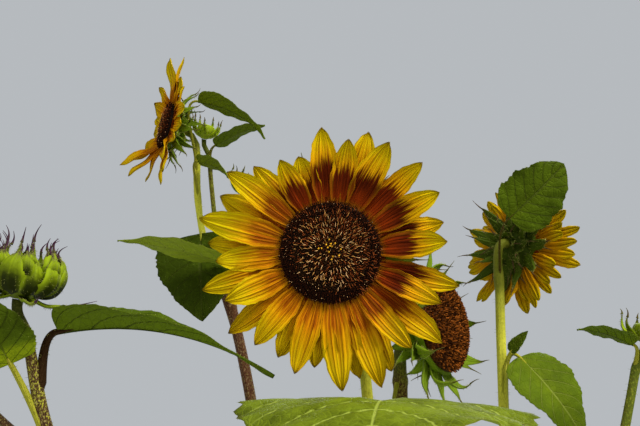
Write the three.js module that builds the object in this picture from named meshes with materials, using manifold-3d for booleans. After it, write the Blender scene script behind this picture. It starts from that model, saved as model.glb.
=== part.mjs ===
// A branching sunflower plant, whole and rooted: one upright stem, the boughs that leave it, four flower heads, five buds and its leaves.
// Lengths are millimetres and angles are degrees. The plant stands at the origin on its flat cut, +Z is up, and the largest bloom faces -Y.
import * as THREE from "three";
import Module from "manifold-3d";

const wasm = await Module();
wasm.setup();

// Driving dimensions.
const CLEAR = 0.3; // gap left between two parts of the plant that meet
const NECK_FROM = 0.82; // share of a limb that is shaft, the rest being the neck under its head
const FLARE = 9; // how far the foot of the stem spreads beyond its radius
const FLARE_HEIGHT = 42;
const LIMB_SIDES = 8;
const LEAF_THICKNESS = 0.014; // as a share of the leaf's length
const WAVE = 0.035; // waviness of a blade's edge, as a share of its width
const SHOULDER = 0.42; // how quickly a blade widens from its base
const RUN_TAPER = 0.92; // how quickly a blade of a run narrows to its tip
const PLACED_LOBE = 0.12; // how far the shoulders of a blade sweep back past its base, as a share of half its width
const RUN_LOBE = 0.5;
const PETAL_THICKNESS = 1.5;
const BRACT_THICKNESS = 2.0;
const STALK_ROOM = 13; // a bract's tip keeps this far from the middle of its own stalk
const PRESSED_TURN = [-8, 0];
const GOLDEN_TURN = 137.5;

// Each limb is a shaft that leaves its parent and ends at a knee, with a neck that turns into the head it carries.
// on: parent, at: share along the parent, out: first direction, knee and up: end of the shaft and its direction there.
// bow and ease: pull of the two ends, as shares of the shaft's span, r: radius at the foot and under the head.
const LIMBS = {
  main_stem: { on: null, at: 0, out: [-0.03, 0.02, 1], knee: [43, 21, 1452], up: [0.02, -0.02, 1], bow: 0.4, ease: 0.3, head: "seed_head", r: [15, 4.8] },
  left_bough: { on: "main_stem", at: 0.46, out: [-0.5, 0.66, 0.56], knee: [-131, 118, 1572], up: [-0.31, -0.22, 1], bow: 0.34, ease: 0.42, head: null, r: [8.2, 5.2] },
  left_stalk: { on: "left_bough", at: 0.985, out: [-0.62, -0.15, 0.8], knee: [-160, 98, 1676], up: [-0.05, -0.1, 1], bow: 0.3, ease: 0.35, head: "left_bloom", r: [3.7, 3.1] },
  far_stalk: { on: "left_stalk", at: 0.16, out: [0.05, 0.4, 1], knee: [-150, 120, 1706], up: [-0.06, -0.02, 1], bow: 0.3, ease: 0.35, head: "far_bud", r: [2.7, 2.3] },
  rear_stalk: { on: "left_bough", at: 0.985, out: [0.3, 0.1, 1], knee: [-118, 114, 1632], up: [0.04, -0.1, 1], bow: 0.3, ease: 0.3, head: "rear_bud", r: [3.0, 2.4] },
  front_bough: { on: "main_stem", at: 0.56, out: [-0.1, -0.7, 0.62], knee: [6, -78, 1462], up: [-0.1, -0.12, 1], bow: 0.3, ease: 0.42, head: "main_bloom", r: [6.2, 4.0] },
  right_bough: { on: "main_stem", at: 0.5, out: [0.72, 0.2, 0.6], knee: [140, 32, 1541], up: [0.02, -0.04, 1], bow: 0.3, ease: 0.45, head: "right_bloom", r: [6.4, 3.9] },
  bud_bough: { on: "main_stem", at: 0.6, out: [-0.8, -0.34, 0.42], knee: [-245, -142, 1478], up: [-0.2, -0.14, 1], bow: 0.38, ease: 0.4, head: "left_bud", r: [6.6, 3.6] },
  side_shoot: { on: "bud_bough", at: 0.69, out: [-0.9, -0.15, 0.55], knee: [-322, -112, 1490], up: [-0.4, 0.1, 0.9], bow: 0.3, ease: 0.35, head: "side_bud", r: [3.6, 2.6] },
  edge_bough: { on: "main_stem", at: 0.64, out: [0.9, -0.22, 0.3], knee: [236, -38, 1462], up: [0.22, -0.1, 0.97], bow: 0.4, ease: 0.34, head: "edge_bud", r: [5.6, 3.4] },
};

// Each head: centre of the disc's rim, the way it faces, radius of the disc, depth of the cup behind it, rise of the dome before it.
const HEADS = {
  main_bloom: { at: [-22, -135, 1547], face: [0.02, -0.985, -0.12], disc: 40, deep: 17, dome: 6 },
  left_bloom: { at: [-190, 75, 1729], face: [-0.92, -0.36, 0.15], disc: 24.5, deep: 14, dome: 6 },
  right_bloom: { at: [161, 42, 1591], face: [0.73, 0.67, -0.08], disc: 24, deep: 15, dome: 5 },
  seed_head: { at: [78, -12, 1508], face: [0.82, -0.54, 0.08], disc: 43, deep: 20, dome: 15 },
  left_bud: { at: [-249, -153, 1530], face: [0.16, -0.1, 0.98], disc: 26, deep: 22, dome: 7 },
  far_bud: { at: [-154, 112, 1740], face: [0.2, -0.3, 0.9], disc: 10, deep: 12, dome: 4 },
  rear_bud: { at: [-107, 88, 1670], face: [0.3, -0.4, 0.85], disc: 13, deep: 13, dome: 4 },
  side_bud: { at: [-344, -106, 1530], face: [-0.4, 0.1, 0.9], disc: 12, deep: 12, dome: 4 },
  edge_bud: { at: [246, -50, 1500], face: [0.15, -0.15, 0.97], disc: 12, deep: 12, dome: 4 },
};

// Ray petals. lift: how far they rise before the disc, lean: how much more they rise on the side at leanAt. The largest bloom has its petals at these clock angles, seen from the front, with these reaches from the centre.
const MAIN_CLOCK = [355, 10, 19, 27, 44, 60, 74, 84, 106, 114, 129, 142, 152, 158, 168, 177, 189, 197, 207, 219, 230, 243, 253, 266, 274, 285, 296, 309, 318, 330, 341];
const MAIN_REACH = [98, 89, 101, 97, 100, 96, 92, 90, 102, 93, 109, 96, 101, 109, 98, 105, 88, 96, 89, 91, 99, 90, 102, 88, 95, 104, 96, 101, 90, 82, 80];
const LEFT_CLOCK = [3, 17, 34, 54, 78, 104, 128, 150, 165, 179, 192, 206, 219, 233, 252, 275, 298, 320, 344];
const LEFT_REACH = [78, 74, 54, 50, 44, 42, 44, 54, 60, 66, 64, 70, 72, 60, 52, 46, 46, 48, 54];
const LEFT_LIFT = [11, 5, -2, -6, -10, -16, -8, 6, -4, -8, 20, 34, 46, 38, 30, 22, 28, 32, 26];
const RAYS = {
  main_bloom: { clock: MAIN_CLOCK, reach: MAIN_REACH, width: 21, lift: [2, 13], lean: 0, leanAt: 0, curl: [-14, 10], bend: 0.05, twist: 12, ring: 5 },
  left_bloom: { clock: LEFT_CLOCK, reach: LEFT_REACH, lifts: LEFT_LIFT, width: 17, lift: [0, 0], lean: 0, leanAt: 0, curl: [-14, 14], bend: 0.1, twist: 24, ring: 5 },
  right_bloom: { count: 22, length: 42, width: 14, lift: [4, 20], lean: 0, leanAt: 0, curl: [-26, 22], bend: 0.08, twist: 26, ring: 5 },
};

// Bracts of the cup behind a head, or of a bud. from: share of the cup's radius at the root, z: height of the root.
// turn: first and last direction above the plane of the disc, length and width of one bract, phase: share of a step by which the row is turned.
const BRACTS = {
  main_bloom: [
    { count: 13, from: 0.86, z: -8, turn: [-14, 4], length: 42, width: 15, phase: 0.45 },
  ],
  left_bloom: [
    { count: 10, from: 0.82, z: -7.5, turn: [-16, -50], length: 27, width: 9 },
    { count: 6, from: 0.78, z: -10.5, turn: [-40, -80], length: 24, width: 8 },
  ],
  right_bloom: [
    { count: 11, from: 0.82, z: -7.5, turn: [-14, -40], length: 35, width: 11 },
    { count: 7, from: 0.78, z: -11, turn: [-44, -62], length: 24, width: 9 },
  ],
  seed_head: [
    { count: 12, from: 0.84, z: -9, turn: [-12, 26], length: 38, width: 14 },
    { count: 7, from: 0.8, z: -14, turn: [-46, 12], length: 38, width: 13 },
  ],
  left_bud: [
    { count: 10, from: 0.98, z: -18.5, turn: [-4, 160], length: 42, width: 21 },
    { count: 8, from: 0.92, z: -4, turn: [50, 142], length: 21, width: 17 },
    { count: 5, from: 0.7, z: -20, turn: [-26, 16], length: 33, width: 9 },
  ],
  far_bud: [
    { count: 7, from: 0.78, z: -9.5, turn: [20, 100], length: 23, width: 8 },
  ],
  rear_bud: [
    { count: 7, from: 0.78, z: -11, turn: [20, 104], length: 31, width: 10 },
  ],
  side_bud: [
    { count: 7, from: 0.78, z: -10, turn: [16, 104], length: 27, width: 10 },
  ],
  edge_bud: [
    { count: 7, from: 0.78, z: -10, turn: [4, 96], length: 27, width: 9 },
  ],
};

// Leaves with a place of their own. face: the way the upper face looks, arch: rise of the midrib as a share of its length.
// fold: how far the two halves rise from the midrib, taper: how quickly the blade narrows.
const PLACED_LEAVES = {
  crest_leaf: { on: "left_stalk", at: 0.84, base: [-157, 64, 1752], tip: [-86, 60, 1709], face: [0.4, 0.12, 0.9], arch: 0.22, width: 40, fold: 14, taper: 1.2 },
  dark_leaf: { on: "far_stalk", at: 0.85, base: [-143, 106, 1718], tip: [-89, 96, 1738], face: [-0.2, 0.05, 0.97], arch: 0.1, width: 34, fold: 10, taper: 0.9 },
  under_leaf: { on: "left_stalk", at: 0.7, base: [-157, 80, 1692], tip: [-117, 60, 1660], face: [0.5, 0.1, 0.85], arch: 0.2, width: 32, fold: 12, taper: 0.9 },
  hanging_leaf: { on: "left_stalk", at: 0.3, base: [-153, 93, 1617], tip: [-146, 78, 1524], face: [-0.15, -0.95, 0.2], arch: 0.12, width: 92, fold: 8, taper: 0.92 },
  pale_leaf: { on: "rear_stalk", at: 0.3, base: [-111, 58, 1576], tip: [-221, 16, 1592], face: [0.1, 0.12, 0.98], arch: 0.07, width: 54, fold: 8, taper: 0.8 },
  arching_leaf: { on: "bud_bough", at: 0.77, base: [-225, -139, 1486], tip: [-62, -160, 1452], face: [-0.05, -0.1, 0.99], arch: 0.185, width: 60, fold: 42, taper: 2.5 },
  heart_leaf: { on: "bud_bough", at: 0.72, base: [-254, -150, 1461], tip: [-273, -178, 1507], face: [0.16, -0.95, -0.3], arch: 0.1, width: 52, fold: 12, taper: 0.92 },
  broad_leaf: { on: "main_stem", at: 0.77, base: [24, -98, 1425], tip: [-5, -282, 1388], face: [0, -0.1, 1], arch: 0.26, width: 210, fold: 0.5, taper: 0.92 },
  cap_leaf: { on: "right_bough", at: 0.86, base: [144, -9, 1607], tip: [194, -24, 1655], face: [0.2, -0.9, -0.3], arch: 0.08, width: 60, fold: 10, taper: 0.75 },
  low_right_leaf: { on: "right_bough", at: 0.66, base: [155, 30, 1484], tip: [206, 12, 1406], face: [0.3, -0.85, 0.45], arch: 0.12, width: 66, fold: 10, taper: 0.9 },
  small_leaf: { on: "right_bough", at: 0.68, base: [145, 22, 1488], tip: [160, 12, 1506], face: [-0.4, -0.85, 0.3], arch: 0.1, width: 13, fold: 16, taper: 0.92 },
  far_leaf: { on: "edge_bough", at: 0.86, base: [232, -54, 1486], tip: [182, -66, 1497], face: [0.1, 0.14, 0.98], arch: 0.14, width: 30, fold: 12, taper: 0.92 },
  shade_leaf: { on: "main_stem", at: 0.84, base: [28, 0, 1434], tip: [-24, -34, 1434], face: [0.1, -0.1, 0.98], arch: 0.14, width: 44, fold: 8, taper: 0.92 },
};

// Leaves placed by rule: up each limb from one share to another, turning by the golden angle.
const LEAF_RUNS = [
  { on: "main_stem", count: 12, from: 0.09, to: 0.64, first: 20, length: [226, 150], petiole: [0.62, 0.46] },
  { on: "left_bough", count: 2, from: 0.34, to: 0.6, first: 60, length: [150, 124], petiole: [0.5, 0.4] },
  { on: "right_bough", count: 2, from: 0.3, to: 0.5, first: 300, length: [150, 126], petiole: [0.5, 0.4] },
  { on: "bud_bough", count: 2, from: 0.34, to: 0.52, first: 200, length: [146, 118], petiole: [0.5, 0.4] },
  { on: "edge_bough", count: 2, from: 0.34, to: 0.6, first: 34, length: [140, 112], petiole: [0.5, 0.4] },
];

const COLOURS = {
  stem: 0x5f6b2c,
  bough: 0x6b4a33,
  leaf: 0x4d6b22,
  paleLeaf: 0x6d8638,
  calyx: 0x5c7a24,
  petal: 0xe8b413,
  disc: 0x33180d,
  seed: 0x6b3312,
  bud: 0x7d9a2c,
};

const radians = THREE.MathUtils.degToRad;
const vec = (a) => new THREE.Vector3(a[0], a[1], a[2]);
const mix = (a, b, t) => a + (b - a) * t;
const clamp01 = (x) => Math.min(1, Math.max(0, x));

// A repeatable number from 0 to 1 for item i and purpose k.
function chance(i, k) {
  const x = Math.sin(i * 12.9898 + k * 78.233) * 43758.5453;
  return x - Math.floor(x);
}

// A point of a cubic or quadratic Bezier curve and its direction there.
function cubicPoint(p, t) {
  const s = 1 - t;
  return p[0].clone().multiplyScalar(s * s * s)
    .addScaledVector(p[1], 3 * s * s * t)
    .addScaledVector(p[2], 3 * s * t * t)
    .addScaledVector(p[3], t * t * t);
}

function quadPoint(p, t) {
  const s = 1 - t;
  return p[0].clone().multiplyScalar(s * s)
    .addScaledVector(p[1], 2 * s * t)
    .addScaledVector(p[2], t * t);
}

function quadTangent(p, t) {
  return p[1].clone().sub(p[0]).multiplyScalar(1 - t)
    .addScaledVector(p[2].clone().sub(p[1]), t)
    .normalize();
}

// A closed solid from rings of points, each ring running anticlockwise seen from the far end, with a point or a flat cap at either end.
// The two halves of a ring are split along matching diagonals, so the two faces of a thin blade never cross.
function loft(rings, startPoint, endPoint) {
  const count = rings[0].length;
  const points = rings.flat();
  const faces = [];
  for (let i = 0; i + 1 < rings.length; i++) {
    for (let j = 0; j < count; j++) {
      const k = (j + 1) % count;
      const a = i * count + j;
      const b = i * count + k;
      const c = (i + 1) * count + k;
      const d = (i + 1) * count + j;
      if (j < count / 2) faces.push(a, b, c, a, c, d);
      else faces.push(a, b, d, b, c, d);
    }
  }
  const middle = (ring) => ring.reduce((sum, p) => sum.add(p), new THREE.Vector3()).divideScalar(count);
  const first = points.length;
  points.push(startPoint || middle(rings[0]));
  const last = points.length;
  points.push(endPoint || middle(rings[rings.length - 1]));
  const top = (rings.length - 1) * count;
  for (let j = 0; j < count; j++) {
    const k = (j + 1) % count;
    faces.push(first, k, j);
    faces.push(last, top + j, top + k);
  }
  const flat = new Float32Array(points.length * 3);
  points.forEach((p, i) => p.toArray(flat, i * 3));
  return new wasm.Manifold(new wasm.Mesh({ numProp: 3, vertProperties: flat, triVerts: new Uint32Array(faces) }));
}

const joined = (solids) => solids.reduce((whole, next) => whole.add(next));

// Limbs.
function limbCurve(name) {
  const limb = LIMBS[name];
  const foot = limb.on ? limbPoint(limb.on, limb.at) : new THREE.Vector3(0, 0, 0);
  const knee = vec(limb.knee);
  const span = knee.distanceTo(foot);
  const up = vec(limb.up).normalize();
  const shaft = [
    foot,
    foot.clone().addScaledVector(vec(limb.out).normalize(), span * limb.bow),
    knee.clone().addScaledVector(up, -span * limb.ease),
    knee,
  ];
  if (!limb.head) return { shaft };
  const head = HEADS[limb.head];
  const face = vec(head.face).normalize();
  const tip = vec(head.at).addScaledVector(face, -head.deep - CLEAR);
  const reach = tip.distanceTo(knee);
  const neck = [
    knee,
    knee.clone().addScaledVector(up, reach * 0.5),
    tip.clone().addScaledVector(face, -reach * 0.45),
    tip,
  ];
  return { shaft, neck };
}

function limbPoint(name, t) {
  const curve = limbCurve(name);
  if (!curve.neck) return cubicPoint(curve.shaft, t);
  if (t <= NECK_FROM) return cubicPoint(curve.shaft, t / NECK_FROM);
  return cubicPoint(curve.neck, (t - NECK_FROM) / (1 - NECK_FROM));
}

function limbTangent(name, t) {
  const h = 0.002;
  return limbPoint(name, Math.min(1, t + h)).sub(limbPoint(name, Math.max(0, t - h))).normalize();
}

function limbRadius(name, t) {
  const limb = LIMBS[name];
  const taper = mix(limb.r[0], limb.r[1], Math.pow(t, 0.9));
  if (limb.on) return taper;
  return taper + FLARE * Math.exp(-limbPoint(name, t).z / FLARE_HEIGHT);
}

// The shares along a limb at which its rings stand: closer at the foot of the main stem and round the neck.
function limbStations(name) {
  const limb = LIMBS[name];
  const shaftSteps = limb.on ? 6 : 12;
  const end = limb.head ? NECK_FROM : 1;
  const stations = limb.on ? [] : [0, 0.012, 0.03, 0.06];
  for (let i = limb.on ? 0 : 2; i <= shaftSteps; i++) stations.push((end * i) / shaftSteps);
  if (limb.head) for (let i = 1; i <= 3; i++) stations.push(mix(NECK_FROM, 1, i / 3));
  return stations;
}

// Rings round a path, carried along it without turning.
function pathRings(points, tangents, radii, sides) {
  const first = tangents[0];
  const seed = Math.abs(first.x) < 0.8 ? new THREE.Vector3(1, 0, 0) : new THREE.Vector3(0, 1, 0);
  let across = seed.clone().addScaledVector(first, -seed.dot(first)).normalize();
  return points.map((point, i) => {
    const along = tangents[i];
    across = across.clone().addScaledVector(along, -across.dot(along)).normalize();
    const other = along.clone().cross(across);
    const ring = [];
    for (let j = 0; j < sides; j++) {
      const a = (2 * Math.PI * j) / sides;
      ring.push(point.clone()
        .addScaledVector(across, Math.cos(a) * radii[i])
        .addScaledVector(other, Math.sin(a) * radii[i]));
    }
    return ring;
  });
}

function limbSolid(name, swell) {
  const stations = limbStations(name);
  const points = stations.map((t) => limbPoint(name, t));
  const tangents = stations.map((t) => limbTangent(name, t));
  if (!LIMBS[name].on) tangents[0].set(0, 0, 1);
  const radii = stations.map((t) => limbRadius(name, t) + swell);
  return loft(pathRings(points, tangents, radii, LIMB_SIDES));
}

// The room a limb needs: itself grown by the clearance.
const keepOut = {};
for (const name of Object.keys(LIMBS)) keepOut[name] = limbSolid(name, CLEAR / Math.cos(Math.PI / LIMB_SIDES));

// Leaves.
function midrib(leaf) {
  const base = vec(leaf.base);
  const tip = vec(leaf.tip);
  const chord = tip.clone().sub(base);
  const length = chord.length();
  chord.normalize();
  const face = vec(leaf.face);
  face.addScaledVector(chord, -face.dot(chord)).normalize();
  const rise = face.clone().multiplyScalar(leaf.arch * length);
  const control = base.clone().add(tip).multiplyScalar(0.5).add(rise);
  return { curve: [base, control, tip], side: face.clone().cross(chord), length };
}

// Half width of a blade at share s of its length, as a share of its greatest half width: broad near the base, with a drawn-out tip.
function leafOutline(s, taper) {
  const widest = SHOULDER / (SHOULDER + taper);
  return Math.pow(s / widest, SHOULDER) * Math.pow((1 - s) / (1 - widest), taper);
}

function leafPoint(leaf, rib, s, u, lift) {
  const along = quadTangent(rib.curve, s);
  const side = rib.side.clone().addScaledVector(along, -rib.side.dot(along)).normalize();
  const normal = along.clone().cross(side);
  const half = (leaf.width / 2) * leafOutline(s, leaf.taper);
  const fold = radians(leaf.fold);
  const away = Math.abs(u) * half;
  const back = leaf.lobe * leaf.width * 0.5 * Math.pow(Math.abs(u), 1.5) * Math.pow(1 - s, 3) * Math.min(1, s * 14);
  const wave = leaf.wave * leaf.width * u * u * Math.sin(s * 9 + leaf.seed + (u > 0 ? 1.3 : 0));
  return quadPoint(rib.curve, s)
    .addScaledVector(side, Math.sign(u) * away * Math.cos(fold))
    .addScaledVector(normal, away * Math.sin(fold) - 0.1 * away * Math.abs(u) + wave + lift)
    .addScaledVector(along, -back);
}

// The stalk of a leaf, from just off the middle of its limb to the base of its blade.
function petioleCurve(leaf, rib) {
  const middle = limbPoint(leaf.on, leaf.at);
  const rise = limbTangent(leaf.on, leaf.at);
  const base = rib.curve[0];
  const out = base.clone().sub(middle);
  out.addScaledVector(rise, -out.dot(rise)).normalize();
  const foot = middle.addScaledVector(out, limbRadius(leaf.on, leaf.at) * 0.35);
  const span = base.distanceTo(foot);
  const start = base.clone().sub(foot).normalize().addScaledVector(rise, 0.35).normalize();
  const into = quadTangent(rib.curve, 0);
  return [
    foot,
    foot.clone().addScaledVector(start, span * 0.36),
    base.clone().addScaledVector(into, -span * 0.3),
    base,
  ];
}

const PETIOLE_SHARES = [0, 0.3, 0.6, 0.85, 1];

function petioleRings(leaf, rib) {
  const curve = petioleCurve(leaf, rib);
  const radius = 1.25 + rib.length * 0.009;
  let side = rib.side;
  const rings = [];
  for (let i = PETIOLE_SHARES.length - 1; i >= 0; i--) {
    const t = PETIOLE_SHARES[i];
    const along = cubicPoint(curve, Math.min(1, t + 0.01)).sub(cubicPoint(curve, Math.max(0, t - 0.01))).normalize();
    side = side.clone().addScaledVector(along, -side.dot(along)).normalize();
    const normal = along.clone().cross(side);
    const fullest = i ? Infinity : limbRadius(leaf.on, leaf.at) * 0.7;
    const r = Math.min(radius * mix(1.25, 0.85, t), fullest);
    const middle = cubicPoint(curve, t);
    rings.unshift([
      middle.clone().addScaledVector(side, r),
      middle.clone().addScaledVector(normal, r),
      middle.clone().addScaledVector(side, -r),
      middle.clone().addScaledVector(normal, -r),
    ]);
  }
  return rings;
}

const BLADE_ROWS = [0.06, 0.2, 0.42, 0.68, 0.88];

function leafSolid(leaf) {
  const rib = midrib(leaf);
  const thick = Math.max(1.4, rib.length * LEAF_THICKNESS) / 2;
  const rows = BLADE_ROWS.map((s) => {
    const body = thick * Math.min(1, 1.3 - s);
    return [
      leafPoint(leaf, rib, s, 1, 0),
      leafPoint(leaf, rib, s, 0, body),
      leafPoint(leaf, rib, s, -1, 0),
      leafPoint(leaf, rib, s, 0, -body),
    ];
  });
  const whole = loft([...petioleRings(leaf, rib), ...rows], null, rib.curve[2].clone());
  return whole.subtract(keepOut[leaf.on]);
}

// A leaf of a run: its petiole climbs away from the limb and its blade arches over and hangs.
function runLeaf(run, index, order) {
  const share = run.count > 1 ? index / (run.count - 1) : 0;
  const at = mix(run.from, run.to, share);
  const turn = radians(run.first + GOLDEN_TURN * index + 14 * (chance(order, 1) - 0.5));
  const outward = new THREE.Vector3(Math.cos(turn), Math.sin(turn), 0);
  const length = mix(run.length[0], run.length[1], share) * mix(0.94, 1.06, chance(order, 2));
  const stalk = length * mix(run.petiole[0], run.petiole[1], share);
  const foot = limbPoint(run.on, at);
  const base = foot.clone().addScaledVector(outward, stalk * 0.84);
  base.z += stalk * 0.52;
  const tip = base.clone().addScaledVector(outward, length * 0.86);
  tip.z -= length * mix(0.34, 0.5, chance(order, 3));
  return {
    on: run.on,
    at,
    base: base.toArray(),
    tip: tip.toArray(),
    face: [0.12 * (chance(order, 4) - 0.5), 0.12 * (chance(order, 5) - 0.5), 1],
    arch: mix(0.14, 0.22, chance(order, 6)),
    width: length * mix(0.74, 0.84, chance(order, 7)),
    fold: mix(4, 14, chance(order, 8)),
    lobe: RUN_LOBE,
    taper: RUN_TAPER,
  };
}

function allLeaves() {
  const leaves = {};
  for (const [name, leaf] of Object.entries(PLACED_LEAVES)) leaves[name] = leaf;
  let order = 0;
  for (const run of LEAF_RUNS) {
    for (let i = 0; i < run.count; i++) {
      order += 1;
      leaves[`leaf_${String(order).padStart(2, "0")}`] = runLeaf(run, i, order);
    }
  }
  Object.values(leaves).forEach((leaf, i) => {
    leaf.seed = i * 1.7;
    leaf.wave = WAVE;
    leaf.lobe = leaf.lobe || PLACED_LOBE;
  });
  return leaves;
}

// Heads.
function headFrame(head) {
  const face = vec(head.face).normalize();
  const up = Math.abs(face.z) < 0.95 ? new THREE.Vector3(0, 0, 1) : new THREE.Vector3(0, 1, 0);
  up.addScaledVector(face, -up.dot(face)).normalize();
  return { at: vec(head.at), face, up, right: up.clone().cross(face) };
}

// A point of the middle line of a petal or bract: an arc that leaves its head at a clock angle and turns from one direction to another.
function bladePoint(frame, blade, s) {
  const a = radians(blade.clock);
  const outward = frame.up.clone().multiplyScalar(Math.cos(a)).addScaledVector(frame.right, Math.sin(a));
  const sideways = frame.right.clone().multiplyScalar(Math.cos(a)).addScaledVector(frame.up, -Math.sin(a));
  const from = radians(blade.turn[0]);
  const change = radians(blade.turn[1] - blade.turn[0]) || 1e-6;
  const r = blade.radius + (blade.length / change) * (Math.sin(from + change * s) - Math.sin(from));
  const z = blade.z + (blade.length / change) * (Math.cos(from) - Math.cos(from + change * s));
  return frame.at.clone()
    .addScaledVector(outward, r)
    .addScaledVector(frame.face, z)
    .addScaledVector(sideways, blade.bend * blade.length * s * s);
}

function bladeSolid(frame, blade, widths, thickness) {
  const a = radians(blade.clock);
  const outward = frame.up.clone().multiplyScalar(Math.cos(a)).addScaledVector(frame.right, Math.sin(a));
  const from = radians(blade.turn[0]);
  const change = radians(blade.turn[1] - blade.turn[0]);
  const place = (s) => bladePoint(frame, blade, s);
  const ringAt = (s, w) => {
    const along = place(Math.min(1, s + 0.01)).sub(place(s - 0.01)).normalize();
    const angle = from + change * s;
    const facing = frame.face.clone().multiplyScalar(Math.cos(angle)).addScaledVector(outward, -Math.sin(angle));
    const side = facing.cross(along).normalize();
    const normal = along.clone().cross(side);
    const roll = radians(blade.twist) * s;
    const across = side.clone().multiplyScalar(Math.cos(roll)).addScaledVector(normal, Math.sin(roll));
    const over = normal.multiplyScalar(Math.cos(roll)).addScaledVector(side, -Math.sin(roll));
    const half = (blade.width / 2) * w;
    const body = (thickness / 2) * mix(1, 0.6, s);
    const middle = place(s);
    return [
      middle.clone().addScaledVector(across, half).addScaledVector(over, half * blade.cup),
      middle.clone().addScaledVector(over, body),
      middle.clone().addScaledVector(across, -half).addScaledVector(over, half * blade.cup),
      middle.clone().addScaledVector(over, -body),
    ];
  };
  return loft(widths.map(([s, w]) => ringAt(s, w)), null, place(1));
}

const PETAL_WIDTHS = [[0, 0.42], [0.4, 1], [0.78, 0.8]];
const BRACT_WIDTHS = [[0, 0.9], [0.48, 0.8]];

const stalkOf = (name) => Object.keys(LIMBS).find((key) => LIMBS[key].head === name);

// A body turned about the head's axis, from [radius, height] pairs read upwards.
function turned(frame, profile, sides) {
  const rings = profile.map(([r, z]) => {
    const ring = [];
    for (let j = 0; j < sides; j++) {
      const a = (2 * Math.PI * j) / sides;
      ring.push(frame.at.clone()
        .addScaledVector(frame.right, Math.cos(a) * r)
        .addScaledVector(frame.up, Math.sin(a) * r)
        .addScaledVector(frame.face, z));
    }
    return ring;
  });
  return loft(rings);
}

// The radius of such a body at height z.
function radiusAt(profile, z) {
  for (let i = 0; i + 1 < profile.length; i++) {
    const [r0, z0] = profile[i];
    const [r1, z1] = profile[i + 1];
    if (z <= z1) return mix(r0, r1, clamp01((z - z0) / (z1 - z0)));
  }
  return profile[profile.length - 1][0];
}

function raySolid(name, order) {
  const head = HEADS[name];
  const rays = RAYS[name];
  const frame = headFrame(head);
  const count = rays.clock ? rays.clock.length : rays.count;
  const inner = head.disc * 0.78;
  const outer = head.disc + rays.ring * 0.5;
  const plate = turned(frame, [[outer, -2.7], [outer, -0.7]], 16);
  const hole = turned(frame, [[inner, -4], [inner, 4]], 12);
  const solids = [plate.subtract(hole)];
  const root = head.disc * 0.9;
  for (let i = 0; i < count; i++) {
    const seed = order * 100 + i;
    const clock = rays.clock ? rays.clock[i] : (360 / count) * (i + 0.5 * (chance(seed, 1) - 0.5));
    const length = rays.clock ? rays.reach[i] - root : rays.length * mix(0.84, 1.1, chance(seed, 2));
    const lean = rays.lean * Math.max(-0.4, Math.cos(radians(clock - rays.leanAt)));
    const rise = lean + (i % 2 ? rays.lift[1] : rays.lift[0]) * mix(0.6, 1.2, chance(seed, 3));
    const lift = rays.lifts ? rays.lifts[i] : rise;
    solids.push(bladeSolid(frame, {
      clock,
      radius: root,
      z: -1.7,
      turn: [lift, lift + mix(rays.curl[0], rays.curl[1], chance(seed, 4))],
      length,
      width: rays.width * mix(0.86, 1.12, chance(seed, 5)),
      bend: rays.bend * 2 * (chance(seed, 6) - 0.5),
      twist: rays.twist * 2 * (chance(seed, 7) - 0.5),
      cup: 0.12,
    }, PETAL_WIDTHS, PETAL_THICKNESS));
  }
  return joined(solids);
}

// A bract that would reach its own stalk is pressed forward instead.
function nearStalk(stalk, point) {
  for (let t = 0.7; t < 0.99; t += 0.02) {
    if (limbPoint(stalk, t).distanceTo(point) < STALK_ROOM) return true;
  }
  return false;
}

function bractSolids(name, order, profile) {
  const head = HEADS[name];
  const stalk = stalkOf(name);
  const frame = headFrame(head);
  const solids = [];
  BRACTS[name].forEach((row, k) => {
    for (let i = 0; i < row.count; i++) {
      const seed = order * 100 + k * 40 + i;
      const sway = 16 * (chance(seed, 13) - 0.5);
      const bract = {
        clock: (360 / row.count) * (i + 0.5 * k + (row.phase || 0) + 0.3 * (chance(seed, 11) - 0.5)),
        radius: radiusAt(profile, row.z) * row.from,
        z: row.z,
        turn: [row.turn[0], row.turn[1] + sway],
        length: row.length * mix(0.84, 1.14, chance(seed, 12)),
        width: row.width,
        bend: 0.16 * (chance(seed, 14) - 0.5),
        twist: 24 * (chance(seed, 15) - 0.5),
        cup: 0.2,
      };
      if (nearStalk(stalk, bladePoint(frame, bract, 1))) bract.turn = PRESSED_TURN;
      solids.push(bladeSolid(frame, bract, BRACT_WIDTHS, BRACT_THICKNESS));
    }
  });
  return solids;
}

function discSolid(name) {
  const head = HEADS[name];
  const profile = [
    [head.disc * 0.9, -0.4],
    [head.disc * 0.985, head.dome * 0.3],
    [head.disc * 0.8, head.dome * 0.72],
    [head.disc * 0.4, head.dome],
  ];
  return turned(headFrame(head), profile, 18);
}

function cupSolid(name, order) {
  const head = HEADS[name];
  const neck = LIMBS[stalkOf(name)].r[1] * 1.15;
  const profile = [
    [neck, -head.deep],
    [head.disc * 0.62, -head.deep * 0.78],
    [head.disc * 0.98, -7.2],
    [head.disc, RAYS[name] ? -3 : -0.7],
  ];
  return joined([turned(headFrame(head), profile, 18), ...bractSolids(name, order, profile)]);
}

function budSolid(name, order) {
  const head = HEADS[name];
  const neck = LIMBS[stalkOf(name)].r[1] * 1.15;
  const profile = [
    [neck, -head.deep],
    [head.disc * 0.72, -head.deep * 0.8],
    [head.disc, -head.deep * 0.25],
    [head.disc * 0.86, head.dome * 0.7],
    [head.disc * 0.4, head.dome],
  ];
  return joined([turned(headFrame(head), profile, 12), ...bractSolids(name, order, profile)]);
}

// Assembly.
const plant = new THREE.Group();
plant.name = "sunflower_plant";

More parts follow.
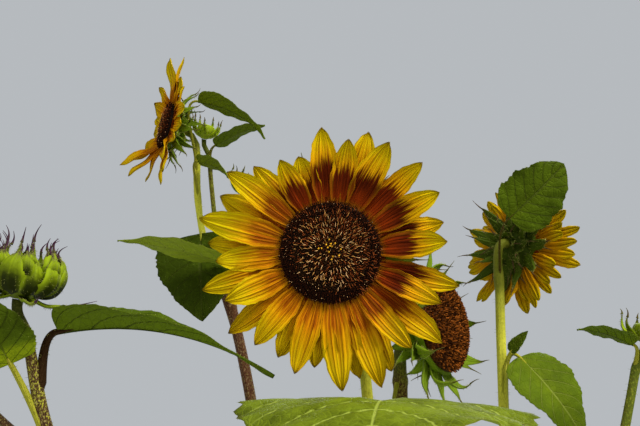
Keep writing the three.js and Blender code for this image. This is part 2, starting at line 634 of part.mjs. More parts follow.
function place(name, solid, colour) {
  const mesh = solid.getMesh();
  const geometry = new THREE.BufferGeometry();
  geometry.setAttribute("position", new THREE.BufferAttribute(new Float32Array(mesh.vertProperties), 3));
  geometry.setIndex(new THREE.BufferAttribute(new Uint32Array(mesh.triVerts), 1));
  geometry.computeVertexNormals();
  const piece = new THREE.Mesh(geometry, new THREE.MeshStandardMaterial({ color: colour, roughness: 0.8 }));
  piece.name = name;
  plant.add(piece);
}

for (const [name, limb] of Object.entries(LIMBS)) {
  let solid = limbSolid(name, 0);
  if (limb.on) solid = solid.subtract(keepOut[limb.on]);
  place(name, solid, name === "left_bough" ? COLOURS.bough : COLOURS.stem);
}

Object.keys(RAYS).forEach((name, i) => {
  place(`${name}_disc`, discSolid(name), COLOURS.disc);
  place(`${name}_rays`, raySolid(name, i + 1), COLOURS.petal);
  place(`${name}_calyx`, cupSolid(name, i + 11), COLOURS.calyx);
});
place("seed_head_disc", discSolid("seed_head"), COLOURS.seed);
place("seed_head_calyx", cupSolid("seed_head", 14), COLOURS.calyx);
["left_bud", "rear_bud", "side_bud", "edge_bud", "far_bud"].forEach((name, i) => {
  place(name, budSolid(name, 15 + i), COLOURS.bud);
});

for (const [name, leaf] of Object.entries(allLeaves())) {
  place(name, leafSolid(leaf), name === "pale_leaf" || name === "broad_leaf" ? COLOURS.paleLeaf : COLOURS.leaf);
}

export default plant;
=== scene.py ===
"""A branching sunflower plant: hairy stems, toothed leaves, two-coloured blooms, a spent seed head and buds."""

import math
from functools import cached_property

import bpy
import numpy as np
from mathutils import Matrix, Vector


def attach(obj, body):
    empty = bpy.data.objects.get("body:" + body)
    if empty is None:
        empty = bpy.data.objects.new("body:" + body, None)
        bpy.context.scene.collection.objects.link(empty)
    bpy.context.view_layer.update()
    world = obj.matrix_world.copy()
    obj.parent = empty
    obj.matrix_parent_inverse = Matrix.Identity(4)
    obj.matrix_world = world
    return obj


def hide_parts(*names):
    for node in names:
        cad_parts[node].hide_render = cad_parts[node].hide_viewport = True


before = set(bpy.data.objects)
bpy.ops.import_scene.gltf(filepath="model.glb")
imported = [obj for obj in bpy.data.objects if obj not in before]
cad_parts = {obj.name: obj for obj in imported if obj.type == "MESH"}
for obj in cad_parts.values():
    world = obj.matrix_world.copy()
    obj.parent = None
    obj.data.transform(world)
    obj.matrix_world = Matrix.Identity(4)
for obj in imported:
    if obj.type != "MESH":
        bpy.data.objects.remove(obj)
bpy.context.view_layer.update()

bl_info = {
    "name": "Branching sunflower plant",
    "version": (1, 0, 0),
    "blender": (4, 5, 0),
    "location": "View3D > Sidebar > Sunflower",
    "description": "Grows the stems, leaves, blooms and buds of a branching sunflower over its plain solids",
    "category": "Add Mesh",
}

MM = 0.001

# Limbs, in millimetres: parent, share along it, first direction, end of the shaft and its direction there,
# pull of the two ends, the head that it carries, radius at the foot and under the head.
LIMBS = {
    "main_stem": (None, 0, (-0.03, 0.02, 1), (43, 21, 1452), (0.02, -0.02, 1), 0.4, 0.3, "seed_head", (15, 4.8)),
    "left_bough": ("main_stem", 0.46, (-0.5, 0.66, 0.56), (-131, 118, 1572), (-0.31, -0.22, 1),
                   0.34, 0.42, None, (8.2, 5.2)),
    "left_stalk": ("left_bough", 0.985, (-0.62, -0.15, 0.8), (-160, 98, 1676), (-0.05, -0.1, 1),
                   0.3, 0.35, "left_bloom", (3.7, 3.1)),
    "far_stalk": ("left_stalk", 0.16, (0.05, 0.4, 1), (-150, 120, 1706), (-0.06, -0.02, 1),
                  0.3, 0.35, "far_bud", (2.7, 2.3)),
    "rear_stalk": ("left_bough", 0.985, (0.3, 0.1, 1), (-118, 114, 1632), (0.04, -0.1, 1),
                   0.3, 0.3, "rear_bud", (3.0, 2.4)),
    "front_bough": ("main_stem", 0.56, (-0.1, -0.7, 0.62), (6, -78, 1462), (-0.1, -0.12, 1),
                    0.3, 0.42, "main_bloom", (6.2, 4.0)),
    "right_bough": ("main_stem", 0.5, (0.72, 0.2, 0.6), (140, 32, 1541), (0.02, -0.04, 1),
                    0.3, 0.45, "right_bloom", (6.4, 3.9)),
    "bud_bough": ("main_stem", 0.6, (-0.8, -0.34, 0.42), (-245, -142, 1478), (-0.2, -0.14, 1),
                  0.38, 0.4, "left_bud", (6.6, 3.6)),
    "side_shoot": ("bud_bough", 0.69, (-0.9, -0.15, 0.55), (-322, -112, 1490), (-0.4, 0.1, 0.9),
                   0.3, 0.35, "side_bud", (3.6, 2.6)),
    "edge_bough": ("main_stem", 0.64, (0.9, -0.22, 0.3), (236, -38, 1462), (0.22, -0.1, 0.97),
                   0.4, 0.34, "edge_bud", (5.6, 3.4)),
}
# Share of a limb where its neck begins, room below the head, and the widening of the main stem's foot.
NECK_FROM, CLEAR, FLARE, FLARE_HEIGHT = 0.82, 0.3, 9.0, 42.0
# Length of the dark green neck below a head, darkened partly as painted shade under the head, and the place of a neck
# that there isn't.
NECK_LENGTH = {"main_stem": 60, "right_bough": 80, "front_bough": 40, "left_stalk": 34, "far_stalk": 40}
USUAL_NECK, NO_NECK = 25, 2
# Swellings of a limb, as a share of its radius and a length: at a leaf, at a fork, at its foot and under its head.
LEAF_KNOT, FORK_KNOT, FOOT_SWELLING, NECK_SWELLING = (0.16, 13), (0.14, 20), (0.42, 11), (0.16, 7)
# How brown-purple each limb is, how yellow, and how strongly it is mottled.
LIMB_TINT = {
    "main_stem": (0.62, 0.25, 0.6), "left_bough": (0.95, 0.1, 0.6), "left_stalk": (0.08, 1.0, 0.2),
    "far_stalk": (0.6, 0.15, 0.5), "rear_stalk": (0.6, 0.3, 0.4), "front_bough": (0.12, 0.75, 0.3),
    "right_bough": (0.12, 1.0, 0.25), "bud_bough": (0.84, 0.8, 1.1), "side_shoot": (0.85, 0.3, 1.0),
    "edge_bough": (0.3, 0.0, 0.1),
}

# Heads: centre of the disc's rim, the way it faces, disc radius, depth of the cup, rise of the dome.
HEADS = {
    "main_bloom": ((-22, -135, 1547), (0.02, -0.985, -0.12), 40, 17, 6),
    "left_bloom": ((-190, 75, 1729), (-0.92, -0.36, 0.15), 24.5, 14, 6),
    "right_bloom": ((161, 42, 1591), (0.73, 0.67, -0.08), 24, 15, 5),
    "seed_head": ((78, -12, 1508), (0.82, -0.54, 0.08), 43, 20, 15),
    "left_bud": ((-249, -153, 1530), (0.16, -0.1, 0.98), 26, 22, 7),
    "far_bud": ((-154, 112, 1740), (0.2, -0.3, 0.9), 10, 12, 4),
    "rear_bud": ((-107, 88, 1670), (0.3, -0.4, 0.85), 13, 13, 4),
    "side_bud": ((-344, -106, 1530), (-0.4, 0.1, 0.9), 12, 12, 4),
    "edge_bud": ((246, -50, 1500), (0.15, -0.15, 0.97), 12, 12, 4),
}
# Petals: clock angle, reach from the middle and lift of each, or their count and length; width, lift of every
# other one, curl, sideways bend, twist, number of pieces that they are made in, and order of the chances.
RAYS = {
    "main_bloom": dict(
        clock=(355, 10, 19, 27, 44, 60, 74, 84, 106, 114, 129, 142, 152, 158, 168, 177, 189, 197, 207, 219, 230,
               243, 253, 266, 274, 285, 296, 309, 318, 330, 341),
        reach=(98, 89, 101, 97, 100, 96, 92, 90, 102, 93, 109, 96, 101, 109, 98, 105, 88, 96, 89, 91, 99, 90, 102,
               88, 95, 104, 96, 101, 90, 82, 80),
        width=21, lift=(2, 13), curl=(-14, 10), bend=0.05, twist=12, pieces=8, order=1),
    "left_bloom": dict(
        clock=(3, 17, 34, 54, 78, 104, 128, 150, 165, 179, 192, 206, 219, 233, 252, 275, 298, 320, 344),
        reach=(78, 74, 54, 50, 44, 42, 44, 54, 60, 66, 64, 70, 72, 60, 52, 46, 46, 48, 54),
        lifts=(11, 5, -2, -6, -10, -16, -8, 6, -4, -8, 20, 34, 46, 38, 30, 22, 28, 32, 26),
        width=17, curl=(-14, 14), bend=0.1, twist=24, pieces=5, order=2),
    "right_bloom": dict(
        count=22, length=42, width=14, lift=(4, 20), curl=(-26, 22), bend=0.08, twist=26, pieces=6, order=3),
}
# Root of a petal as a share of the disc's radius, and how much narrower petals are that stand in two rows.
PETAL_ROOT, CROWDED_WIDTH = 0.9, 0.9
# Where on the clock the main bloom's petals are reddest, and where they are lightest as painted light; away from it
# they are darker as painted shade.
REDDEST, SUNLIT_CLOCK = 42, 350
# How red, how long in the foot and how light the other blooms' petals are at least.
PETAL_TONES = {"left_bloom": (0.3, 0.34, -0.4), "right_bloom": (0.35, 0.2, -0.5)}

# Bracts: count, share of the cup's radius at the root, height of the root, first and last direction, length, width.
# The last rows of left_bloom, right_bloom, seed_head and left_bud are finer than the solids show.
BRACTS = {
    "main_bloom": [(13, 0.86, -8, (-14, 4), 42, 15)],
    "left_bloom": [(10, 0.82, -7.5, (-16, -50), 27, 9), (6, 0.78, -10.5, (-40, -80), 24, 8),
                   (9, 0.86, -8.5, (-40, 50), 17, 9), (7, 0.8, -11.5, (-70, 10), 15, 8)],
    "right_bloom": [(11, 0.82, -7.5, (-14, -40), 35, 11), (7, 0.78, -11, (-44, -62), 24, 9),
                    (11, 0.9, -8.5, (-40, 60), 19, 9), (9, 0.86, -11.5, (-70, 20), 17, 8),
                    (7, 0.8, -13.5, (-100, -10), 13, 7)],
    "seed_head": [(12, 0.84, -9, (-12, 26), 38, 14), (7, 0.8, -14, (-46, 12), 38, 13),
                  (9, 0.94, -8, (-10, 120), 34, 15), (8, 0.9, -12, (-40, -80), 26, 13),
                  (8, 0.8, -16, (-80, -10), 20, 10)],
    "left_bud": [(10, 0.98, -18.5, (-4, 160), 42, 21), (8, 0.92, -4, (50, 142), 21, 17),
                 (5, 0.7, -20, (-26, 16), 33, 9), (11, 0.72, -1, (70, 116), 20, 6), (9, 1.0, -10, (26, 148), 25, 15)],
    "far_bud": [(7, 0.78, -9.5, (20, 100), 23, 8)],
    "rear_bud": [(7, 0.78, -11, (20, 104), 31, 10)],
    "side_bud": [(7, 0.78, -10, (16, 104), 27, 10)],
    "edge_bud": [(7, 0.78, -10, (4, 96), 27, 9)],
}
# Rows of left_bud that are puffed, and its crown. The small buds share one skin.
PUFFED_ROWS, CROWN_ROW, SMALL_BUDS = (0, 1, 4), 3, ("rear_bud", "side_bud", "edge_bud")
# Order of the chances; length of the dark thread at a bract's end, how far it bends outwards, and how dark it is;
# and how light the bracts are.
BRACT_LOOK = {
    "main_bloom": (11, 9, 0.1, 0.6, 2), "left_bloom": (12, 9, 0.3, 0.8, 2.6), "right_bloom": (13, 10, 0.35, 0.9, 0.8),
    "seed_head": (14, 15, 0.1, 0.8, 2.9), "left_bud": (15, 12, 0.55, 1.0, 1), "rear_bud": (16, 7, 0.3, 0.7, 1),
    "side_bud": (17, 7, 0.3, 0.7, 1), "edge_bud": (18, 9, 0.2, 0.8, 1), "far_bud": (19, 7, 0.3, 0.9, 1.6),
}
# Turn of the first bract as a share of the step between two, and the room that a bract's tip leaves the stalk.
BRACT_PHASE, STALK_ROOM = {"main_bloom": 0.45}, 13

# Placed leaves: limb, share along it, base, tip, facing, arch, width, fold, taper, and how purple the stalk is.
PLACED_LEAVES = {
    "crest_leaf": ("left_stalk", 0.84, (-157, 64, 1752), (-86, 60, 1709), (0.4, 0.12, 0.9), 0.22, 40, 14, 1.2, 0.3),
    "dark_leaf": ("far_stalk", 0.85, (-143, 106, 1718), (-89, 96, 1738), (-0.2, 0.05, 0.97), 0.1, 34, 10, 0.9, 0.5),
    "under_leaf": ("left_stalk", 0.7, (-157, 80, 1692), (-117, 60, 1660), (0.5, 0.1, 0.85), 0.2, 32, 12, 0.9, 0.3),
    "hanging_leaf": ("left_stalk", 0.3, (-153, 93, 1617), (-146, 78, 1524), (-0.15, -0.95, 0.2),
                     0.12, 92, 8, 0.92, 0.3),
    "pale_leaf": ("rear_stalk", 0.3, (-111, 58, 1576), (-221, 16, 1592), (0.1, 0.12, 0.98), 0.07, 54, 8, 0.8, 0.1),
    "arching_leaf": ("bud_bough", 0.77, (-225, -139, 1486), (-62, -160, 1452), (-0.05, -0.1, 0.99),
                     0.185, 60, 42, 2.5, 0.9),
    "heart_leaf": ("bud_bough", 0.72, (-254, -150, 1461), (-273, -178, 1507), (0.16, -0.95, -0.3),
                   0.1, 52, 12, 0.92, 0.25),
    "broad_leaf": ("main_stem", 0.77, (24, -98, 1425), (-5, -282, 1388), (0, -0.1, 1), 0.26, 210, 0.5, 0.92, 0.2),
    "cap_leaf": ("right_bough", 0.86, (144, -9, 1607), (194, -24, 1655), (0.2, -0.9, -0.3), 0.08, 60, 10, 0.75, 0.7),
    "low_right_leaf": ("right_bough", 0.66, (155, 30, 1484), (206, 12, 1406), (0.3, -0.85, 0.45),
                       0.12, 66, 10, 0.9, 0.2),
    "small_leaf": ("right_bough", 0.68, (145, 22, 1488), (160, 12, 1506), (-0.4, -0.85, 0.3), 0.1, 13, 16, 0.92, 0.1),
    "far_leaf": ("edge_bough", 0.86, (232, -54, 1486), (182, -66, 1497), (0.1, 0.14, 0.98), 0.14, 30, 12, 0.92, 0.3),
    "shade_leaf": ("main_stem", 0.84, (28, 0, 1434), (-24, -34, 1434), (0.1, -0.1, 0.98), 0.14, 44, 8, 0.92, 0.3),
}
LEAF_FIELDS = ("on", "at", "base", "tip", "face", "arch", "width", "fold", "taper", "purple")
# Runs: limb, count, first and last share, first turn, first and last length, first and last stalk share.
LEAF_RUNS = (
    ("main_stem", 12, 0.09, 0.64, 20, (226, 150), (0.62, 0.46)),
    ("left_bough", 2, 0.34, 0.6, 60, (150, 124), (0.5, 0.4)),
    ("right_bough", 2, 0.3, 0.5, 300, (150, 126), (0.5, 0.4)),
    ("bud_bough", 2, 0.34, 0.52, 200, (146, 118), (0.5, 0.4)),
    ("edge_bough", 2, 0.34, 0.6, 34, (140, 112), (0.5, 0.4)),
)
# Blades: fullness near the foot, height of the waves, lobes at the foot, taper, turn from leaf to leaf; teeth, side
# veins and their sweep, and the length below which a leaf is small.
SHOULDER, WAVE, PLACED_LOBE, RUN_LOBE, RUN_TAPER, GOLDEN_TURN = 0.42, 0.035, 0.12, 0.5, 0.92, 137.5
TEETH, VEINS, VEIN_SWEEP, SMALL_LEAF = 17, 6.6, 0.34, 60
# Leaves painted with the lighter green of a leaf in the light.
PALE_LEAVES = ("pale_leaf", "broad_leaf")
# How light a leaf is, for the placed leaves painted light and shade (leaves in the sun lighter, those in shade darker),
# how dark its veins are, how ragged its edge, how much lighter its foot, how stout its stalk.
LEAF_LOOK = {
    "crest_leaf": (0.7, 0.6, 1, 0.3, 0.8), "dark_leaf": (0.5, 0.6, 1, 0, 0.8), "under_leaf": (0.9, 0.5, 1, 0.2, 0.7),
    "hanging_leaf": (0, 0.8, 1, 0, 1), "pale_leaf": (0.3, 0, 2.0, 0, 1), "arching_leaf": (0.42, 0.9, 1, 0, 1.25),
    "heart_leaf": (0.22, 0.8, 1, 1.6, 1.6), "broad_leaf": (0.28, 0, 0.5, 0, 1), "cap_leaf": (0.3, 0.7, 1.8, 0.3, 0.6),
    "low_right_leaf": (0.8, 0, 0.8, 0, 1), "small_leaf": (0.4, 0.4, 1, 0, 1), "far_leaf": (0.25, 0.8, 2.2, 0.3, 1),
    "shade_leaf": (0.1, 0.6, 1, 0, 1),
}

# Outlines: shares along a blade and how wide it is there.
ALONG_PETAL = (0, 0.12, 0.28, 0.45, 0.62, 0.78, 0.9, 0.965, 1)
PETAL = (ALONG_PETAL, (0.48, 0.7, 0.93, 1.0, 0.96, 0.78, 0.47, 0.23, 0.03))
BLUNT_PETAL = (ALONG_PETAL, (0.45, 0.66, 0.92, 1.0, 0.98, 0.86, 0.6, 0.36, 0.08))
BRACT = ((0, 0.2, 0.45, 0.62, 0.78, 0.9, 1), (0.9, 1.0, 0.86, 0.62, 0.36, 0.17, 0.03))
PUFFED_BRACT = ((0, 0.15, 0.35, 0.55, 0.72, 0.85, 0.93, 1), (0.75, 0.95, 1.0, 0.95, 0.72, 0.36, 0.15, 0.05))

# How many florets a disc has, and into how many sides the round shapes are cut.
FLORETS, FEW_FLORETS = {"main_bloom": 2100, "seed_head": 2300}, 420
DISC_SIDES, CUP_SIDES, COLLAR_SIDES = 64, 56, 120
# Rows along and columns across a blade.
SMALL_LEAF_GRID, LEAF_GRID, PETAL_GRID, BRACT_GRID = (46, 13), (76, 21), (34, 15), (24, 9)
PETAL_THICK, BRACT_THICK = 0.7, 1.1
# Bristles for each square millimetre of a stem and of a leaf's stalk, and for each small leaf, leaf and bract.
STEM_BRISTLES, STALK_BRISTLES, SMALL_LEAF_BRISTLES, LEAF_BRISTLES = 0.13, 0.16, 90, 260
BRACT_BRISTLES, FEW_BRACT_BRISTLES, BRISTLE_RADIUS, STEM_BRISTLE_RADIUS = 46, 20, 0.15, 0.16
# Heights between which the stems grow hairier.
BALD_UP_TO, HAIRY_FROM = 400, 1400
# Share of the disc's radius that the florets stand on, and how far a bent thread sags.
FLOOR_SHARE, LEAN_SAG = 0.965, 0.45
# Kinds of husk on the spent head: last share of the chances, and how light.
HUSKS = (("husks_dark", 0.4, 0.2), ("husks_rust", 0.76, 1), ("husks_orange", 0.96, 2.3), ("husks_light", 1, 4))

# Tones that stay as they are: linear red, green and blue.
OLIVE_BROWN, STALK_BROWN, PALE_SPECK = (0.05, 0.03, 0.009), (0.036, 0.017, 0.006), (0.3, 0.2, 0.12)
DRY_EDGE, BURNT_TIP, BRISTLE = (0.12, 0.07, 0.02), (0.13, 0.045, 0.008), (0.34, 0.34, 0.08)
PURPLE_END, BROWN_END = (0.06, 0.02, 0.04), (0.09, 0.045, 0.02)
SEED_FLOOR = ((0.02, 0.006, 0.002), (0.09, 0.026, 0.005))
DISC_FLOOR = ((0.005, 0.003, 0.002), (0.014, 0.006, 0.003))

# Stage, in metres and degrees.
FLOOR_PAINT, FLOOR_RADIUS, STUDIO_LIGHT, STUDIO_STRENGTH = (0.8, 0.79, 0.77), 40, (0.78, 0.82, 0.86, 1), 0.6
CAMERA_AT, CAMERA_TILT, LENS, SENSOR = (-0.03, -0.8, 1.4), 105, 50, 36
# Lamps: place, aim, size, power, colour.
LAMPS = {
    "key": ((1.3, -1.3, 3.3), (0, 0, 1.5), 1.0, 76, (1, 0.97, 0.9)),
    "fill": ((-2.2, -1.6, 1.9), (0, 0, 1.4), 2.2, 7, (0.93, 0.97, 1)),
    "rim": ((0.6, 2.2, 2.7), (0, 0, 1.4), 1.6, 30, (1, 0.98, 0.93)),
    "low": ((-0.6, -2.7, 2.0), (0, 0, 0.5), 2.4, 12, (1, 1, 1)),
}


# Small sums.
def chance(i, k):
    """The source's repeatable number from 0 to 1 for item i and purpose k."""
    x = math.sin(i * 12.9898 + k * 78.233) * 43758.5453
    return x - math.floor(x)


def mix(a, b, t):
    return a + (b - a) * t


def arr(v):
    return np.asarray(v, float)


def unit(v):
    v = arr(v)
    return v / np.maximum(np.linalg.norm(v, axis=-1, keepdims=True), 1e-12)


def dot(a, b):
    return (a * b).sum(-1, keepdims=True)


def smooth(lo, hi, x):
    t = np.clip((x - lo) / (hi - lo), 0, 1)
    return t * t * (3 - 2 * t)


def hump(x):
    return np.exp(-(x**2))


def cubic(p, t):
    t = arr(t)[..., None]
    s = 1 - t
    return p[0] * s**3 + p[1] * 3 * s * s * t + p[2] * 3 * s * t * t + p[3] * t**3


def quad(p, t):
    t = arr(t)[..., None]
    s = 1 - t
    return p[0] * s * s + p[1] * 2 * s * t + p[2] * t * t


def quad_tangent(p, t):
    t = arr(t)[..., None]
    return unit((p[1] - p[0]) * (1 - t) + (p[2] - p[1]) * t)


def run_length(points):
    """How far along the path each of its points lies."""
    return np.concatenate([[0], np.cumsum(np.linalg.norm(np.diff(points, axis=0), axis=1))])


def turns(sides):
    return np.linspace(0, 2 * math.pi, sides, endpoint=False)


def spun(across, over, angle):
    """Directions at an angle from across towards over."""
    angle = arr(angle)[..., None]
    return across * np.cos(angle) + over * np.sin(angle)


# Limbs.
def limb_curve(name):
    on, at, out, knee, up, bow, ease, head, _ = LIMBS[name]
    foot = limb_point(on, at) if on else np.zeros(3)
    knee, up = arr(knee), unit(up)
    span = np.linalg.norm(knee - foot)
    shaft = [foot, foot + unit(out) * span * bow, knee - up * span * ease, knee]
    if not head:
        return shaft, None
    centre, face, _, deep, _ = HEADS[head]
    face = unit(face)
    tip = arr(centre) - face * (deep + CLEAR)
    reach = np.linalg.norm(tip - knee)
    return shaft, [knee, knee + up * reach * 0.5, tip - face * reach * 0.45, tip]


def limb_point(name, t):
    shaft, neck = limb_curve(name)
    t = arr(t)
    if neck is None:
        return cubic(shaft, t)
    low = cubic(shaft, np.minimum(t / NECK_FROM, 1))
    high = cubic(neck, np.maximum((t - NECK_FROM) / (1 - NECK_FROM), 0))
    return np.where((t <= NECK_FROM)[..., None], low, high)


def limb_tangent(name, t, step=0.002):
    return unit(limb_point(name, np.minimum(1, arr(t) + step)) - limb_point(name, np.maximum(0, arr(t) - step)))


def limb_radius(name, t):
    on, (foot, top) = LIMBS[name][0], LIMBS[name][8]
    taper = mix(foot, top, arr(t) ** 0.9)
    return taper if on else taper + FLARE * np.exp(-limb_point(name, t)[..., 2] / FLARE_HEIGHT)


# Leaves.
def run_leaf(run, index, order):
    on, count, first_share, last_share, first, lengths, stalks = run
    share = index / (count - 1)
    at = mix(first_share, last_share, share)
    turn = math.radians(first + GOLDEN_TURN * index + 14 * (chance(order, 1) - 0.5))
    outward = arr((math.cos(turn), math.sin(turn), 0))
    length = mix(*lengths, share) * mix(0.94, 1.06, chance(order, 2))
    stalk = length * mix(*stalks, share)
    base = limb_point(on, at) + outward * stalk * 0.84 + arr((0, 0, stalk * 0.52))
    tip = base + outward * length * 0.86 - arr((0, 0, length * mix(0.34, 0.5, chance(order, 3))))
    face = (0.12 * (chance(order, 4) - 0.5), 0.12 * (chance(order, 5) - 0.5), 1)
    row = (on, at, base, tip, face, mix(0.14, 0.22, chance(order, 6)), length * mix(0.74, 0.84, chance(order, 7)),
           mix(4, 14, chance(order, 8)), RUN_TAPER, 0.35 * chance(order, 9))
    return dict(zip(LEAF_FIELDS, row), lobe=RUN_LOBE)


def all_leaves():
    leaves = {name: dict(zip(LEAF_FIELDS, row), lobe=PLACED_LOBE) for name, row in PLACED_LEAVES.items()}
    places = [(run, i) for run in LEAF_RUNS for i in range(run[1])]
    for order, (run, i) in enumerate(places, 1):
        leaves["leaf_%02d" % order] = run_leaf(run, i, order)
    for i, (name, leaf) in enumerate(leaves.items()):
        leaf.update(seed=i * 1.7, index=i, look=LEAF_LOOK.get(name, (mix(0.42, 0.85, chance(i, 21)), 0.15, 1, 0, 1)))
    return leaves


def midrib(leaf):
    base, tip = arr(leaf["base"]), arr(leaf["tip"])
    length = np.linalg.norm(tip - base)
    chord = (tip - base) / length
    face = arr(leaf["face"])
    face = unit(face - chord * dot(face, chord))
    return [base, (base + tip) / 2 + face * leaf["arch"] * length, tip], np.cross(face, chord), length


def leaf_outline(s, taper):
    widest = SHOULDER / (SHOULDER + taper)
    return (s / widest) ** SHOULDER * ((1 - s) / (1 - widest)) ** taper


def vein_phase(s, u):
    """How far between two side veins a point lies: whole numbers are on a vein."""
    return (s - VEIN_SWEEP * abs(u) ** 1.15 * (1 - 0.35 * s)) * VEINS


def leaf_points(leaf, rib, s, u):
    """Points of the blade's middle sheet at shares s along and u across, and the way that it faces there."""
    curve, side0, _ = rib
    seed, width, out = leaf["seed"], leaf["width"], abs(u)
    ragged = leaf["look"][2]
    fold = math.radians(leaf["fold"])
    along = quad_tangent(curve, s)
    side = unit(side0 - along * dot(arr(side0), along))
    normal = np.cross(along, side)
    tooth = (s * TEETH + 0.35 * (u > 0) + 0.2 * np.sin(s * 40 + seed)) % 1.0
    saw = np.where(tooth < 0.75, tooth / 0.75, (1 - tooth) / 0.25)
    notches = 0.05 * (saw - 0.6) + 0.022 * ragged * np.sin(s * 23 + seed * 2 + u) + 0.02 * (ragged - 1) * np.sin(s * 57)
    half = width / 2 * leaf_outline(s, leaf["taper"]) * (1 + notches * out**5)
    away = out * half
    back = leaf["lobe"] * width * 0.5 * out**1.5 * (1 - s) ** 3 * np.minimum(1, s * 14)
    wave = WAVE * width * u * u * np.sin(s * 9 + seed + np.where(u > 0, 1.3, 0))
    ripple = 0.012 * width * out**3 * np.sin(s * 31 + seed * 3 + np.where(u > 0, 0.7, 0))
    valley = abs((vein_phase(s, u) % 1.0) - 0.5) * 2
    quilt = (1 - valley**3) * 0.011 * width * np.minimum(1, half / (width * 0.2)) * smooth(0, 0.16, out) * (1 - out**6)
    lift = away * math.sin(fold) - 0.1 * away * out + wave + ripple + quilt
    across = np.sign(u) * away * math.cos(fold)
    points = quad(curve, s) + side * across[..., None] + normal * lift[..., None] - along * back[..., None]
    return points, normal, across


def petiole_curve(leaf, rib):
    middle, rise = limb_point(leaf["on"], leaf["at"]), limb_tangent(leaf["on"], leaf["at"])
    base = rib[0][0]
    out = base - middle
    out = unit(out - rise * dot(out, rise))
    foot = middle + out * limb_radius(leaf["on"], leaf["at"]) * 0.35
    span = np.linalg.norm(base - foot)
    start = unit(unit(base - foot) + rise * 0.35)
    return [foot, foot + start * span * 0.36, base - quad_tangent(rib[0], 0.0) * span * 0.3, base]


